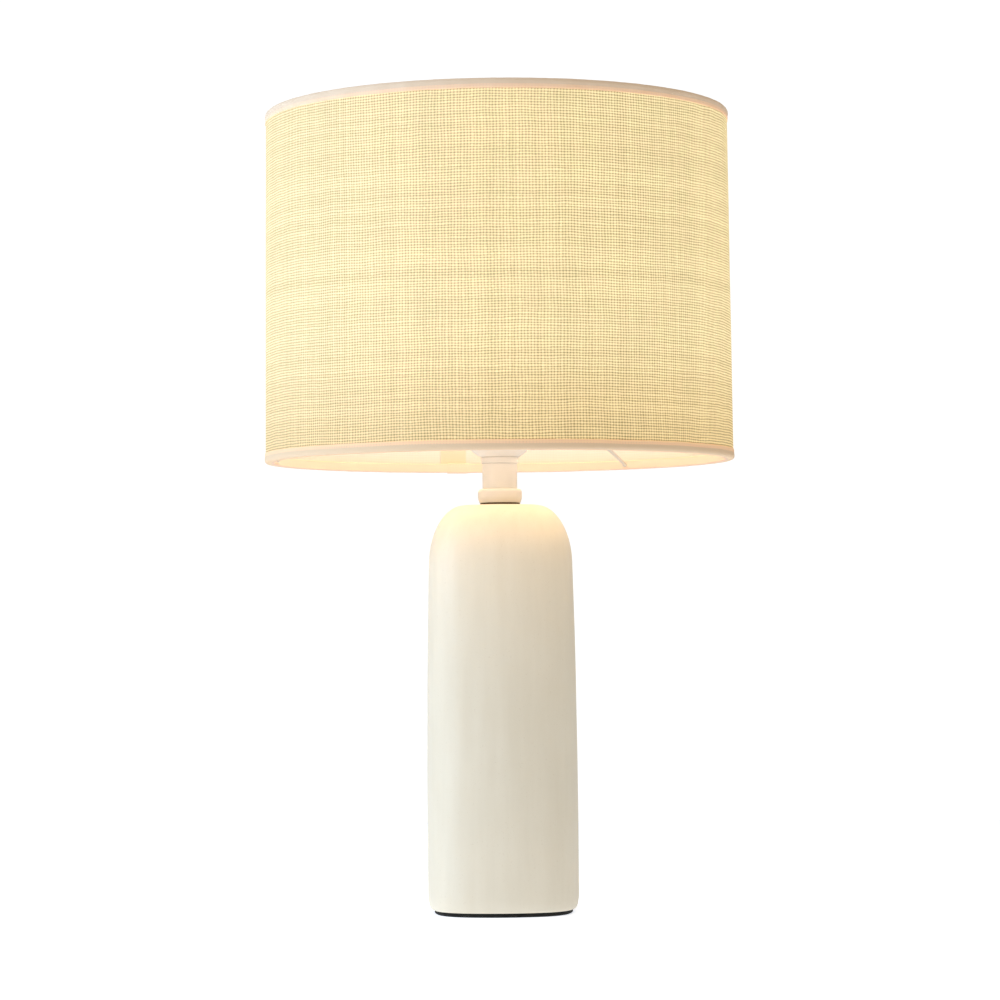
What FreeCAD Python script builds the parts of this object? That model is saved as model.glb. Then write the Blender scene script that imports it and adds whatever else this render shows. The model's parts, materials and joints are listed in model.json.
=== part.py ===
import FreeCAD, Part
import math
import os
import re
import Sketcher

# A table lamp: a hollow ceramic column with a lampholder on top, a drum shade
# on a wire carrier, and a lamp bulb.  Millimetres, +Z up, origin at the centre
# of the underside of the foot pad.  The front is -Y, the cord inlet is at +Y.

DIMENSIONS = {
    # ceramic column: a soft square in plan, with rounded foot and shoulder
    "pad_half": 41.2,
    "pad_thick": 2.5,
    "foot_half": 42.6,
    "foot_run": 2.3,
    "foot_rise": 9.5,
    "side_taper": 2,
    "shoulder_height": 206,
    "shoulder_rise": 36,
    "crown_half": 22,
    "hollow_radius": 37.5,
    "hollow_middle_inset": 5,
    "hollow_crown_inset": 14,
    "hollow_crown_drop": 2,
    "column_roof": 6,
    "floor_under": 11,
    "floor_thick": 6,
    "floor_bore": 22,
    "foot_recess": 36,
    "side_bow": 1.8,
    "corner_bow": 0.62,
    "crown_side_bow": 1.35,
    "crown_corner_bow": 0.78,
    # cord inlet low at the back
    "inlet_height": 27,
    "inlet_hole": 4.5,
    "bush_bore": 3.2,
    "bush_flange": 7,
    "bush_flange_thick": 1.6,
    "bush_lip": 0.7,
    "bush_clearance": 0.5,
    "bush_ease": 0.1,
    # clamping rod and its fasteners
    "rod_radius": 5,
    "rod_bore": 3.75,
    "rod_bottom": 3.2,
    "rod_top": 282,
    "rod_ease": 0.2,
    "crown_ease": 0.4,
    "plate_radius": 32,
    "plate_thick": 2,
    "plate_wire_hole": 4,
    "plate_wire_offset": 15,
    "washer_radius": 9,
    "washer_thick": 1.2,
    "nut_flats": 14,
    "nut_thick": 3,
    "nut_ease": 0.05,
    # neck: gasket, collar, sleeve and ring
    "gasket_radius": 11.9,
    "gasket_thick": 1.5,
    "collar_radius": 13.2,
    "collar_foot": 12.2,
    "collar_thick": 8.4,
    "collar_round": 2,
    "sleeve_radius": 10.4,
    "sleeve_wall": 1,
    "sleeve_length": 15,
    "neck_ring_radius": 11,
    "neck_ring_thick": 3.9,
    # lampholder
    "cap_mouth": 11.3,
    "cap_cone": 16.7,
    "cap_cone_rise": 3.4,
    "cap_radius": 20.2,
    "cap_bowl_rise": 9.5,
    "cap_height": 26,
    "cap_wall": 1.8,
    "cap_floor": 2.2,
    "cap_inside_rise": 1,
    "cap_cone_inset": 2,
    "cap_cone_lift": 1.4,
    "cap_mouth_inset": 0.8,
    "insert_radius": 15.6,
    "insert_bottom": 12.5,
    "insert_floor": 6,
    "insert_lip": 2,
    "insert_top": 37,
    "insert_ledge": 1.2,
    "insert_ease": 0.2,
    "skirt_radius": 19.7,
    "skirt_bore": 16,
    "skirt_top": 64,
    "flange_radius": 23.5,
    "flange_under": 33,
    "flange_thick": 2,
    "shell_radius": 13.9,
    "shell_wall": 0.35,
    "shell_top": 45,
    "shell_ease": 0.05,
    "contact_reach": 9,
    "contact_rise": 4,
    "contact_leaf": 0.5,
    "contact_width": 5,
    "contact_heel": 6.3,
    "contact_knee": 2.7,
    "contact_knee_top": 2.25,
    "contact_tip": 5.4,
    "contact_fold": 0.55,
    "terminal_offset": 9,
    "terminal_radius": 1.9,
    "terminal_length": 4,
    "terminal_ease": 0.1,
    # shade carrier
    "carrier_bore": 21,
    "carrier_radius": 27,
    "carrier_thick": 1.6,
    "arm_wire": 1.1,
    "arm_inner": 26.8,
    "arm_bend": 62,
    "arm_bend_radius": 25,
    "arm_bearing": 54,
    "arm_end_inset": 1.2,
    "arm_end_lift": 0.64,
    "ring_nut_bore": 19.75,
    "ring_nut_radius": 26.5,
    "ring_nut_thick": 7,
    "ring_nut_flange": 2.2,
    "ring_nut_hub": 23,
    # drum shade
    "shade_bottom": 268,
    "shade_top": 476.5,
    "shade_low_radius": 139.6,
    "shade_high_radius": 138.1,
    "cover_thick": 0.7,
    "liner_thick": 0.6,
    "liner_gap": 0.05,
    "shade_edge": 1.5,
    "wire_radius": 1.6,
    "wire_gap": 0.1,
    "trim_thick": 0.4,
    "trim_corner": 1.2,
    "trim_inside_corner": 1.4,
    "trim_height": 5.8,
    "trim_gap": 0.05,
    "notch_half": 1.6,
    # bulb
    "bulb_lift": 0.3,
    "bulb_length": 108,
    "bulb_tip_radius": 4.6,
    "bulb_tip_thick": 1.2,
    "glass_foot_step": 0.5,
    "glass_edge": 1.2,
    "glass_ease": 0.1,
    "bulb_cap_foot": 4.2,
    "bulb_cap_lip": 10.6,
    "bulb_cap_lip_thick": 0.5,
    "bulb_cap_cone": 1.4,
    "bulb_cap_cone_inside": 1.7,
    "bulb_cap_radius": 13.1,
    "bulb_cap_wall": 0.4,
    "bulb_cap_length": 22,
    "bulb_neck_radius": 12.6,
    "bulb_neck_overlap": 5,
    "bulb_neck_length": 6,
    "bulb_waist_radius": 15.5,
    "bulb_waist_height": 42,
    "bulb_rim_radius": 27.6,
    "bulb_rim_height": 3,
    "bulb_wall": 1.4,
    "globe_radius": 30,
    "globe_drop": 13,
    "globe_wall": 1,
    "board_thick": 1.6,
    "board_recess": 0.2,
    "board_ease": 0.3,
    "chip_circle": 16,
    "chip_size": 2.8,
    "chip_thick": 0.8,
    "chip_count": 10,
    "driver_width": 15,
    "driver_length": 26,
    # how far a cut runs past the face that it leaves through
    "overrun": 1,
}

FOOT_ANGLES = (0, 25, 50, 75)
SIDE_SHARES = (0, 0.05, 0.15, 0.3, 0.5, 0.7, 0.85, 0.95)
SHOULDER_ANGLES = (0, 15, 30, 45, 58, 70, 80, 90)
ARM_COUNT = 3
TOLERANCE = 0.01

doc = FreeCAD.newDocument("table_lamp")
sheet = doc.addObject("Spreadsheet::Sheet", "Sizes")
nodes = []


def fill_sheet():
    """Writes every driving dimension into the sheet, with its alias."""
    for row, (alias, value) in enumerate(DIMENSIONS.items(), start=1):
        sheet.set(f"A{row}", alias)
        sheet.set(f"B{row}", str(value))
        sheet.setAlias(f"B{row}", alias)
    doc.recompute()


def ref(text):
    """An expression in plain aliases, with each alias pointed at the sheet."""

    def point(match):
        word = match.group(0)
        return f"Sizes.{word}" if word in DIMENSIONS else word

    return re.sub(r"[a-z]+[a-z_]*", point, str(text))


def value(text):
    """What an expression comes to now, in millimetres."""
    return float(sheet.evalExpression(ref(text)))


def keep(item, label):
    """Names a finished sub-part and adds it to the list of nodes."""
    item.Label = label
    nodes.append(item)
    return item


def lift(item, height):
    """Binds a sub-part's own height above the origin."""
    item.setExpression("Placement.Base.z", ref(height))


def origin_plane(body, role):
    """One of a body's own origin planes."""
    return next(f for f in body.Origin.OriginFeatures if f.Role == role)


def new_sketch(body, name, role, offset="0"):
    """A sketch on an origin plane, moved along the plane's normal."""
    sketch = body.newObject("Sketcher::SketchObject", name)
    sketch.AttachmentSupport = [(origin_plane(body, role), "")]
    sketch.MapMode = "FlatFace"
    sketch.setExpression("AttachmentOffset.Base.z", ref(offset))
    return sketch


def bind(sketch, kind, *where):
    """Adds a sketch dimension whose last entry is an expression."""
    places, text = where[:-1], where[-1]
    index = sketch.addConstraint(Sketcher.Constraint(kind, *places, value(text)))
    sketch.setExpression(f"Constraints[{index}]", ref(text))


def draw_outline(sketch, points):
    """A closed outline of straight lines, each corner bound to the sheet."""
    corners = [FreeCAD.Vector(value(a), value(b), 0) for a, b in points]
    count = len(corners)
    for i, corner in enumerate(corners):
        sketch.addGeometry(Part.LineSegment(corner, corners[(i + 1) % count]))
    for i, (across, up) in enumerate(points):
        last = (i - 1) % count
        sketch.addConstraint(Sketcher.Constraint("Coincident", last, 2, i, 1))
        for kind, axis, text in (("DistanceX", -2, across), ("DistanceY", -1, up)):
            if str(text) == "0":
                sketch.addConstraint(Sketcher.Constraint("PointOnObject", i, 1, axis))
            else:
                bind(sketch, kind, -1, 1, i, 1, text)


def draw_circle(sketch, radius, across="0", up="0"):
    """A circle bound to the sheet."""
    centre = FreeCAD.Vector(value(across), value(up), 0)
    index = sketch.addGeometry(Part.Circle(centre, FreeCAD.Vector(0, 0, 1), value(radius)))
    bind(sketch, "Radius", index, radius)
    for kind, axis, text in (("DistanceX", -2, across), ("DistanceY", -1, up)):
        if text == "0":
            sketch.addConstraint(Sketcher.Constraint("PointOnObject", index, 3, axis))
        else:
            bind(sketch, kind, -1, 1, index, 3, text)


def turned(label, points, height="0"):
    """A sub-part turned about Z from a closed (radius, height) outline."""
    body = doc.addObject("PartDesign::Body", label)
    sketch = new_sketch(body, label + "_outline", "XZ_Plane")
    draw_outline(sketch, points)
    turn = body.newObject("PartDesign::Revolution", label + "_turn")
    turn.Profile = sketch
    turn.ReferenceAxis = (sketch, ["V_Axis"])
    turn.Angle = 360
    lift(body, height)
    return keep(body, label)


def washer(label, outer, bore, thick, height):
    """A flat ring."""
    return turned(label, [(bore, 0), (outer, 0), (outer, thick), (bore, thick)], height)


def disc_cutter(body, name, radius, bottom, length, across="0", up="0"):
    """Cuts a round hole upwards from a height."""
    before = body.Tip.Shape.Volume
    sketch = new_sketch(body, name + "_circle", "XY_Plane", bottom)
    draw_circle(sketch, radius, across, up)
    pocket = body.newObject("PartDesign::Pocket", name)
    pocket.Profile = sketch
    pocket.Type = "Length"
    pocket.setExpression("Length", ref(length))
    pocket.Reversed = True
    doc.recompute()
    check_cut(pocket, before)


def check_cut(feature, before):
    """Stops if a cut took nothing away."""
    if feature.Shape.Volume > before - TOLERANCE:
        raise RuntimeError(f"{feature.Name} cuts nothing")


# ---------------------------------------------------------------- column

COLUMN_TOP = "shoulder_height + shoulder_rise"


def soft_square_arcs(half, side, corner):
    """The eight arcs of a soft square: (centre, radius, start, end) in turn."""
    offset = side - half
    reach = math.sqrt(2 * (side - corner) ** 2 - offset**2)
    middle = (reach - offset) / 2
    swing = math.atan2(middle, middle + offset)
    arcs = []
    for quarter in range(4):
        turn = quarter * math.pi / 2
        side_centre = FreeCAD.Vector(-offset * math.cos(turn), -offset * math.sin(turn), 0)
        arcs.append((side_centre, side, turn - swing, turn + swing))
        diagonal = turn + math.pi / 4
        away = middle * math.sqrt(2)
        centre = FreeCAD.Vector(away * math.cos(diagonal), away * math.sin(diagonal), 0)
        arcs.append((centre, corner, turn + swing, turn + math.pi / 2 - swing))
    return arcs


def soft_square(body, name, height, half, side_bow, corner_bow):
    """A soft square section of the column, every radius and centre bound."""
    sketch = new_sketch(body, name, "XY_Plane", height)
    side = f"({half}) * {side_bow}"
    corner = f"({half}) * {corner_bow}"
    arcs = soft_square_arcs(value(half), value(side), value(corner))
    up = FreeCAD.Vector(0, 0, 1)
    for centre, radius, start, end in arcs:
        sketch.addGeometry(Part.ArcOfCircle(Part.Circle(centre, up, radius), start, end))
    for i in range(len(arcs)):
        sketch.addConstraint(Sketcher.Constraint("Tangent", i, 2, (i + 1) % len(arcs), 1))
    for i in range(len(arcs)):
        bind(sketch, "Radius", i, corner if i % 2 else side)
    offset = f"{side} - ({half})"
    for i, kind, sign, axis in (
        (0, "DistanceX", "-", -1),
        (2, "DistanceY", "-", -2),
        (4, "DistanceX", "", -1),
        (6, "DistanceY", "", -2),
    ):
        sketch.addConstraint(Sketcher.Constraint("PointOnObject", i, 3, axis))
        bind(sketch, kind, -1, 1, i, 3, f"{sign}({offset})")
    return sketch


def column_stations():
    """Heights and half-widths up the column, from an elliptical foot to an elliptical shoulder."""
    stations = []
    for angle in FOOT_ANGLES:
        height = f"pad_thick + foot_rise * (1 - cos({angle} deg))"
        half = f"foot_half + foot_run * sin({angle} deg)"
        stations.append((height, half, "side_bow", "corner_bow"))
    side_height = "(shoulder_height - pad_thick - foot_rise)"
    for share in SIDE_SHARES:
        height = f"pad_thick + foot_rise + {side_height} * {share}"
        half = f"foot_half + foot_run - side_taper * {share} ^ 2.5"
        stations.append((height, half, "side_bow", "corner_bow"))
    for angle in SHOULDER_ANGLES:
        height = f"shoulder_height + shoulder_rise * sin({angle} deg)"
        half = f"crown_half + (foot_half + foot_run - side_taper - crown_half) * cos({angle} deg)"
        share = f"sin({angle} deg)"
        side = f"(side_bow + (crown_side_bow - side_bow) * {share})"
        corner = f"(corner_bow + (crown_corner_bow - corner_bow) * {share})"
        stations.append((height, half, side, corner))
    return stations


def loft(body, name, stations):
    """A smooth loft through soft squares."""
    sketches = [soft_square(body, f"{name}_{i}", *s) for i, s in enumerate(stations)]
    feature = body.newObject("PartDesign::AdditiveLoft", name)
    feature.Profile = sketches[0]
    feature.Sections = sketches[1:]
    feature.Ruled = False
    feature.Closed = False
    doc.recompute()


def column_hollow(body):
    """Turns out the inside of the column, narrower towards the crown."""
    solid = body.Tip.Shape.Volume
    floor_top = "floor_under + floor_thick"
    hollow = [
        (0, floor_top),
        ("hollow_radius", floor_top),
        ("hollow_radius", "shoulder_height"),
        ("hollow_radius - hollow_middle_inset", "shoulder_height + shoulder_rise / 2"),
        ("hollow_radius - hollow_crown_inset", f"{COLUMN_TOP} - column_roof - hollow_crown_drop"),
        (0, f"{COLUMN_TOP} - column_roof"),
    ]
    sketch = new_sketch(body, "hollow_outline", "XZ_Plane")
    draw_outline(sketch, hollow)
    groove = body.newObject("PartDesign::Groove", "column_hollow")
    groove.Profile = sketch
    groove.ReferenceAxis = (sketch, ["V_Axis"])
    groove.Angle = 360
    doc.recompute()
    check_cut(groove, solid)


def column_inlet(body):
    """Cuts the cord inlet through the back wall."""
    before = body.Tip.Shape.Volume
    sketch = new_sketch(body, "inlet_circle", "XZ_Plane")
    draw_circle(sketch, "inlet_hole", "0", "inlet_height")
    inlet = body.newObject("PartDesign::Pocket", "inlet_hole")
    inlet.Profile = sketch
    inlet.Type = "Length"
    inlet.setExpression("Length", ref("foot_half + foot_run + overrun"))
    doc.recompute()
    check_cut(inlet, before)


def ceramic_column():
    """The hollow ceramic body with its floor, foot recess, crown bore and cord inlet."""
    body = doc.addObject("PartDesign::Body", "ceramic_body")
    loft(body, "column_outside", column_stations())
    column_hollow(body)
    foot = "pad_thick - overrun"
    disc_cutter(body, "foot_pocket", "foot_recess", foot, f"floor_under - ({foot})")
    disc_cutter(body, "floor_hole", "floor_bore", "floor_under - overrun", "floor_thick + overrun * 2")
    roof = f"{COLUMN_TOP} - column_roof - overrun"
    disc_cutter(body, "crown_hole", "rod_radius + crown_ease", roof, "column_roof + overrun * 2")
    column_inlet(body)
    keep(body, "ceramic_body")


def pad_sketch(body, sketch, name, length, midplane=False):
    """Pads a sketch by a length from the sheet."""
    pad = body.newObject("PartDesign::Pad", name)
    pad.Profile = sketch
    pad.Type = "Length"
    pad.Midplane = midplane
    pad.setExpression("Length", ref(length))


def foot_pad():
    """The soft pad under the foot."""
    body = doc.addObject("PartDesign::Body", "base_pad")
    sketch = soft_square(body, "pad_outline", "0", "pad_half", "side_bow", "corner_bow")
    pad_sketch(body, sketch, "pad_sheet", "pad_thick")
    keep(body, "base_pad")


def cord_bush():
    """The bush that lines the cord inlet, with a flange on each side of the wall."""
    inner_end = "hollow_radius - bush_clearance"
    outer_face = "foot_half + foot_run + bush_ease"
    shank = f"{outer_face} - ({inner_end})"
    lip = "bush_flange_thick"
    outline = [
        ("bush_bore", 0),
        ("inlet_hole + bush_lip", 0),
        ("inlet_hole + bush_lip", lip),
        ("inlet_hole - bush_ease", lip),
        ("inlet_hole - bush_ease", f"{lip} + {shank}"),
        ("bush_flange", f"{lip} + {shank}"),
        ("bush_flange", f"{lip} * 2 + {shank}"),
        ("bush_bore", f"{lip} * 2 + {shank}"),
    ]
    bush = turned("cord_bush", outline, "inlet_height")
    bush.Placement.Rotation = FreeCAD.Rotation(FreeCAD.Vector(1, 0, 0), -90)
    bush.setExpression("Placement.Base.y", ref(f"{inner_end} - {lip}"))


# ------------------------------------------------- clamping rod and neck

COLLAR_FOOT = f"{COLUMN_TOP} + gasket_thick"
SLEEVE_FOOT = f"{COLLAR_FOOT} + collar_thick"
NECK_RING_FOOT = f"{SLEEVE_FOOT} + sleeve_length"
HOLDER_FOOT = f"{NECK_RING_FOOT} + neck_ring_thick"
ROD_HOLE = "rod_radius + rod_ease"


def hex_nut(label, height):
    """A thin hexagon nut on the clamping rod."""
    blank = doc.addObject("Part::Prism", label + "_blank")
    blank.Polygon = 6
    blank.setExpression("Circumradius", ref("nut_flats / 2 / cos(30 deg)"))
    blank.setExpression("Height", ref("nut_thick"))
    bore = doc.addObject("Part::Cylinder", label + "_bore")
    bore.setExpression("Radius", ref("rod_radius + nut_ease"))
    bore.setExpression("Height", ref("nut_thick"))
    nut = doc.addObject("Part::Cut", label)
    nut.Base = blank
    nut.Tool = bore
    lift(nut, height)
    keep(nut, label)


def round_rim(body, radius, height, size):
    """Rounds the outer rim of a turned sub-part."""
    doc.recompute()
    tip = body.Tip
    found = [
        f"Edge{i}"
        for i, edge in enumerate(tip.Shape.Edges, start=1)
        if abs(edge.BoundBox.ZMax - value(height)) < TOLERANCE
        and abs(edge.BoundBox.ZLength) < TOLERANCE
        and abs(edge.BoundBox.XMax - value(radius)) < TOLERANCE
    ]
    fillet = body.newObject("PartDesign::Fillet", body.Name + "_rim")
    fillet.Base = (tip, found)
    fillet.setExpression("Radius", ref(size))


def clamping_rod():
    """The hollow rod that holds the lamp together, with its plate, washer and nuts."""
    washer("threaded_rod", "rod_radius", "rod_bore", "rod_top - rod_bottom", "rod_bottom")
    plate = washer("base_plate", "plate_radius", ROD_HOLE, "plate_thick", "floor_under - plate_thick")
    doc.recompute()
    through = "plate_thick + overrun * 2"
    disc_cutter(plate, "wire_hole", "plate_wire_hole", "-overrun", through, "0", "plate_wire_offset")
    under_plate = "floor_under - plate_thick - washer_thick"
    washer("bottom_washer", "washer_radius", ROD_HOLE, "washer_thick", under_plate)
    hex_nut("bottom_nut", f"{under_plate} - nut_thick")
    hex_nut("holder_nut", f"{HOLDER_FOOT} + cap_floor")


def neck():
    """Gasket, collar, sleeve and ring between the column and the lampholder."""
    washer("neck_gasket", "gasket_radius", ROD_HOLE, "gasket_thick", COLUMN_TOP)
    collar = turned(
        "neck_collar",
        [
            (ROD_HOLE, 0),
            ("collar_foot", 0),
            ("collar_radius", "collar_round"),
            ("collar_radius", "collar_thick"),
            (ROD_HOLE, "collar_thick"),
        ],
        COLLAR_FOOT,
    )
    round_rim(collar, "collar_radius", "collar_thick", "collar_round")
    washer("neck_sleeve", "sleeve_radius", "sleeve_radius - sleeve_wall", "sleeve_length", SLEEVE_FOOT)
    washer("neck_ring", "neck_ring_radius", ROD_HOLE, "neck_ring_thick", NECK_RING_FOOT)


# ----------------------------------------------------------- lampholder


def holder_cap():
    """The bowl at the bottom of the lampholder."""
    inside = "cap_radius - cap_wall"
    ledge = "insert_radius + insert_ledge"
    outline = [
        (ROD_HOLE, 0),
        ("cap_mouth", 0),
        ("cap_cone", "cap_cone_rise"),
        ("cap_radius", "cap_bowl_rise"),
        ("cap_radius", "cap_height"),
        (inside, "cap_height"),
        (inside, "cap_height - insert_lip"),
        (ledge, "cap_height - insert_lip"),
        (ledge, "cap_bowl_rise + cap_inside_rise"),
        ("cap_cone - cap_cone_inset", "cap_cone_rise + cap_cone_lift"),
        ("cap_mouth - cap_mouth_inset", "cap_floor"),
        (ROD_HOLE, "cap_floor"),
    ]
    turned("holder_cap", outline, HOLDER_FOOT)


def holder_skirt():
    """The threaded outer shell, with the flange that the shade carrier rests on."""
    outline = [
        ("skirt_bore", "cap_height"),
        ("cap_radius", "cap_height"),
        ("cap_radius", "flange_under"),
        ("flange_radius", "flange_under"),
        ("flange_radius", "flange_under + flange_thick"),
        ("skirt_radius", "flange_under + flange_thick"),
        ("skirt_radius", "skirt_top"),
        ("skirt_bore", "skirt_top"),
    ]
    turned("holder_skirt", outline, HOLDER_FOOT)


def holder_insert():
    """The insulating cup that carries the contacts, with two holes for terminal screws."""
    lip = "cap_radius - cap_wall - insert_ease"
    bore = "shell_radius + shell_ease"
    floor = "insert_bottom + insert_floor"
    outline = [
        (0, "insert_bottom"),
        ("insert_radius", "insert_bottom"),
        ("insert_radius", "cap_height - insert_lip"),
        (lip, "cap_height - insert_lip"),
        (lip, "cap_height"),
        ("insert_radius", "cap_height"),
        ("insert_radius", "insert_top"),
        (bore, "insert_top"),
        (bore, floor),
        (0, floor),
    ]
    insert = turned("holder_insert", outline, HOLDER_FOOT)
    doc.recompute()
    radius = "terminal_radius + terminal_ease"
    for side, sign in (("left", "-"), ("right", "")):
        across = f"{sign}terminal_offset"
        foot = "insert_bottom - overrun"
        disc_cutter(insert, f"{side}_terminal", radius, foot, "terminal_length + overrun", across)


def compound(label, parts):
    """Several loose solids of one kind, kept as one sub-part."""
    group = doc.addObject("Part::Compound", label)
    group.Links = parts
    keep(group, label)


SHELL_FOOT = f"{HOLDER_FOOT} + insert_bottom + insert_floor"


def centre_contact():
    """The sprung leaf that touches the tip of the bulb."""
    spring = doc.addObject("PartDesign::Body", "centre_contact")
    sketch = new_sketch(spring, "contact_outline", "XZ_Plane")
    leaf = [
        ("-contact_reach", 0),
        ("contact_reach", 0),
        ("contact_reach", "contact_leaf"),
        ("-contact_heel", "contact_leaf"),
        ("contact_knee", "contact_rise - contact_leaf"),
        ("contact_tip", "contact_rise - contact_leaf"),
        ("contact_tip", "contact_rise"),
        ("contact_knee_top", "contact_rise"),
        ("-contact_reach", "contact_fold"),
    ]
    draw_outline(sketch, leaf)
    pad_sketch(spring, sketch, "contact_sheet", "contact_width", midplane=True)
    lift(spring, SHELL_FOOT)
    keep(spring, "centre_contact")


def terminal_screws():
    """The two screws that hold the wires under the insert."""
    screws = []
    for side, sign in (("left", "-"), ("right", "")):
        screw = doc.addObject("Part::Cylinder", f"{side}_terminal_screw")
        screw.setExpression("Radius", ref("terminal_radius"))
        screw.setExpression("Height", ref("terminal_length"))
        screw.setExpression("Placement.Base.x", ref(f"{sign}terminal_offset"))
        lift(screw, f"{HOLDER_FOOT} + insert_bottom")
        screws.append(screw)
    compound("terminal_screws", screws)


def holder_contacts():
    """Screw shell, sprung centre contact and terminal screws."""
    length = "shell_top - insert_bottom - insert_floor"
    washer("screw_shell", "shell_radius", "shell_radius - shell_wall", length, SHELL_FOOT)
    centre_contact()
    terminal_screws()


# ---------------------------------------------------------- shade carrier

CARRIER_UNDER = f"{HOLDER_FOOT} + flange_under + flange_thick"
LOW_WIRE_RADIUS = "(shade_low_radius - cover_thick - liner_gap - liner_thick - wire_gap - wire_radius)"
HIGH_WIRE_RADIUS = "(shade_high_radius - cover_thick - liner_gap - liner_thick - wire_gap - wire_radius)"
WIRE_INSET = "(trim_thick + wire_gap + wire_radius)"
ARM_LEVEL = f"{CARRIER_UNDER} + carrier_thick / 2"
ARM_END = f"{LOW_WIRE_RADIUS} - arm_end_inset"
ARM_END_HEIGHT = f"shade_bottom + {WIRE_INSET} + arm_end_lift"


def arm_path(body, label):
    """The centre line of an arm: level, then a bend, then straight down to the bottom wire."""
    path = new_sketch(body, label + "_path", "XZ_Plane")
    slope = f"atan2({ARM_LEVEL} - ({ARM_END_HEIGHT}); {ARM_END} - arm_bend)"
    setback = f"arm_bend_radius * tan({slope} / 2)"
    level = value(ARM_LEVEL)
    start = FreeCAD.Vector(value("arm_inner"), level, 0)
    corner = FreeCAD.Vector(value("arm_bend"), level, 0)
    end = FreeCAD.Vector(value(ARM_END), value(ARM_END_HEIGHT), 0)
    first_end = FreeCAD.Vector(value(f"arm_bend - {setback}"), level, 0)
    second_start = corner + (end - corner).normalize() * value(setback)
    centre = FreeCAD.Vector(first_end.x, level - value("arm_bend_radius"), 0)
    circle = Part.Circle(centre, FreeCAD.Vector(0, 0, 1), value("arm_bend_radius"))
    fall = math.atan2(level - end.y, end.x - corner.x)
    path.addGeometry(Part.LineSegment(start, first_end))
    path.addGeometry(Part.ArcOfCircle(circle, math.pi / 2 - fall, math.pi / 2))
    path.addGeometry(Part.LineSegment(second_start, end))
    path.addConstraint(Sketcher.Constraint("Horizontal", 0))
    path.addConstraint(Sketcher.Constraint("Tangent", 0, 2, 1, 2))
    path.addConstraint(Sketcher.Constraint("Tangent", 1, 1, 2, 1))
    bind(path, "Radius", 1, "arm_bend_radius")
    bind(path, "DistanceX", -1, 1, 0, 1, "arm_inner")
    bind(path, "DistanceY", -1, 1, 0, 1, ARM_LEVEL)
    bind(path, "DistanceX", -1, 1, 0, 2, f"arm_bend - {setback}")
    bind(path, "DistanceX", -1, 1, 2, 2, ARM_END)
    bind(path, "DistanceY", -1, 1, 2, 2, ARM_END_HEIGHT)
    return path


def carrier_arm(number):
    """One arm, turned to its bearing round the column's axis."""
    label = f"carrier_arm_{number}"
    body = doc.addObject("PartDesign::Body", label)
    path = arm_path(body, label)
    wire = new_sketch(body, label + "_wire", "YZ_Plane", "arm_inner")
    draw_circle(wire, "arm_wire", "0", ARM_LEVEL)
    sweep = body.newObject("PartDesign::AdditivePipe", label + "_sweep")
    sweep.Profile = wire
    sweep.Spine = path
    bearing = value("arm_bearing") + 360 / ARM_COUNT * (number - 1)
    body.Placement.Rotation = FreeCAD.Rotation(FreeCAD.Vector(0, 0, 1), bearing)
    keep(body, label)


def shade_carrier():
    """The ring on the lampholder and the arms welded to it."""
    washer("shade_carrier", "carrier_radius", "carrier_bore", "carrier_thick", CARRIER_UNDER)
    for number in range(1, ARM_COUNT + 1):
        carrier_arm(number)


def ring_nut():
    """The flanged ring nut that clamps the carrier on the lampholder."""
    outline = [
        ("ring_nut_bore", 0),
        ("ring_nut_radius", 0),
        ("ring_nut_radius", "ring_nut_flange"),
        ("ring_nut_hub", "ring_nut_flange"),
        ("ring_nut_hub", "ring_nut_thick"),
        ("ring_nut_bore", "ring_nut_thick"),
    ]
    turned("shade_ring_nut", outline, f"{CARRIER_UNDER} + carrier_thick")


# ------------------------------------------------------------------ shade


def drum_wall(label, inset, thick):
    """A slightly conical wall of the shade, inset from the shade's outer face."""
    low = f"shade_low_radius - {inset}"
    high = f"shade_high_radius - {inset}"
    bottom = "shade_bottom + shade_edge"
    top = "shade_top - shade_edge"
    outline = [(f"{low} - {thick}", bottom), (low, bottom), (high, top), (f"{high} - {thick}", top)]
    turned(label, outline)


def frame_wire(label, radius, height):
    """A round steel wire ring at the top or bottom of the shade."""
    wire = doc.addObject("Part::Torus", label)
    wire.setExpression("Radius1", ref(radius))
    wire.setExpression("Radius2", ref("wire_radius"))
    lift(wire, height)
    keep(wire, label)


def trim_outline(outer, inner, edge, up):
    """A tape folded round a rim: outer leaf, rounded edge and inner leaf."""
    points = [
        (f"{outer} - trim_thick", "trim_height"),
        (outer, "trim_height"),
        (outer, "trim_corner"),
        (f"{outer} - trim_corner", 0),
        (f"{inner} + trim_corner", 0),
        (inner, "trim_corner"),
        (inner, "trim_height"),
        (f"{inner} + trim_thick", "trim_height"),
        (f"{inner} + trim_thick", "trim_inside_corner"),
        (f"{inner} + trim_inside_corner", "trim_thick"),
        (f"{outer} - trim_inside_corner", "trim_thick"),
        (f"{outer} - trim_thick", "trim_inside_corner"),
    ]
    return [(across, f"{edge} {up} ({rise})") for across, rise in points]


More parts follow.
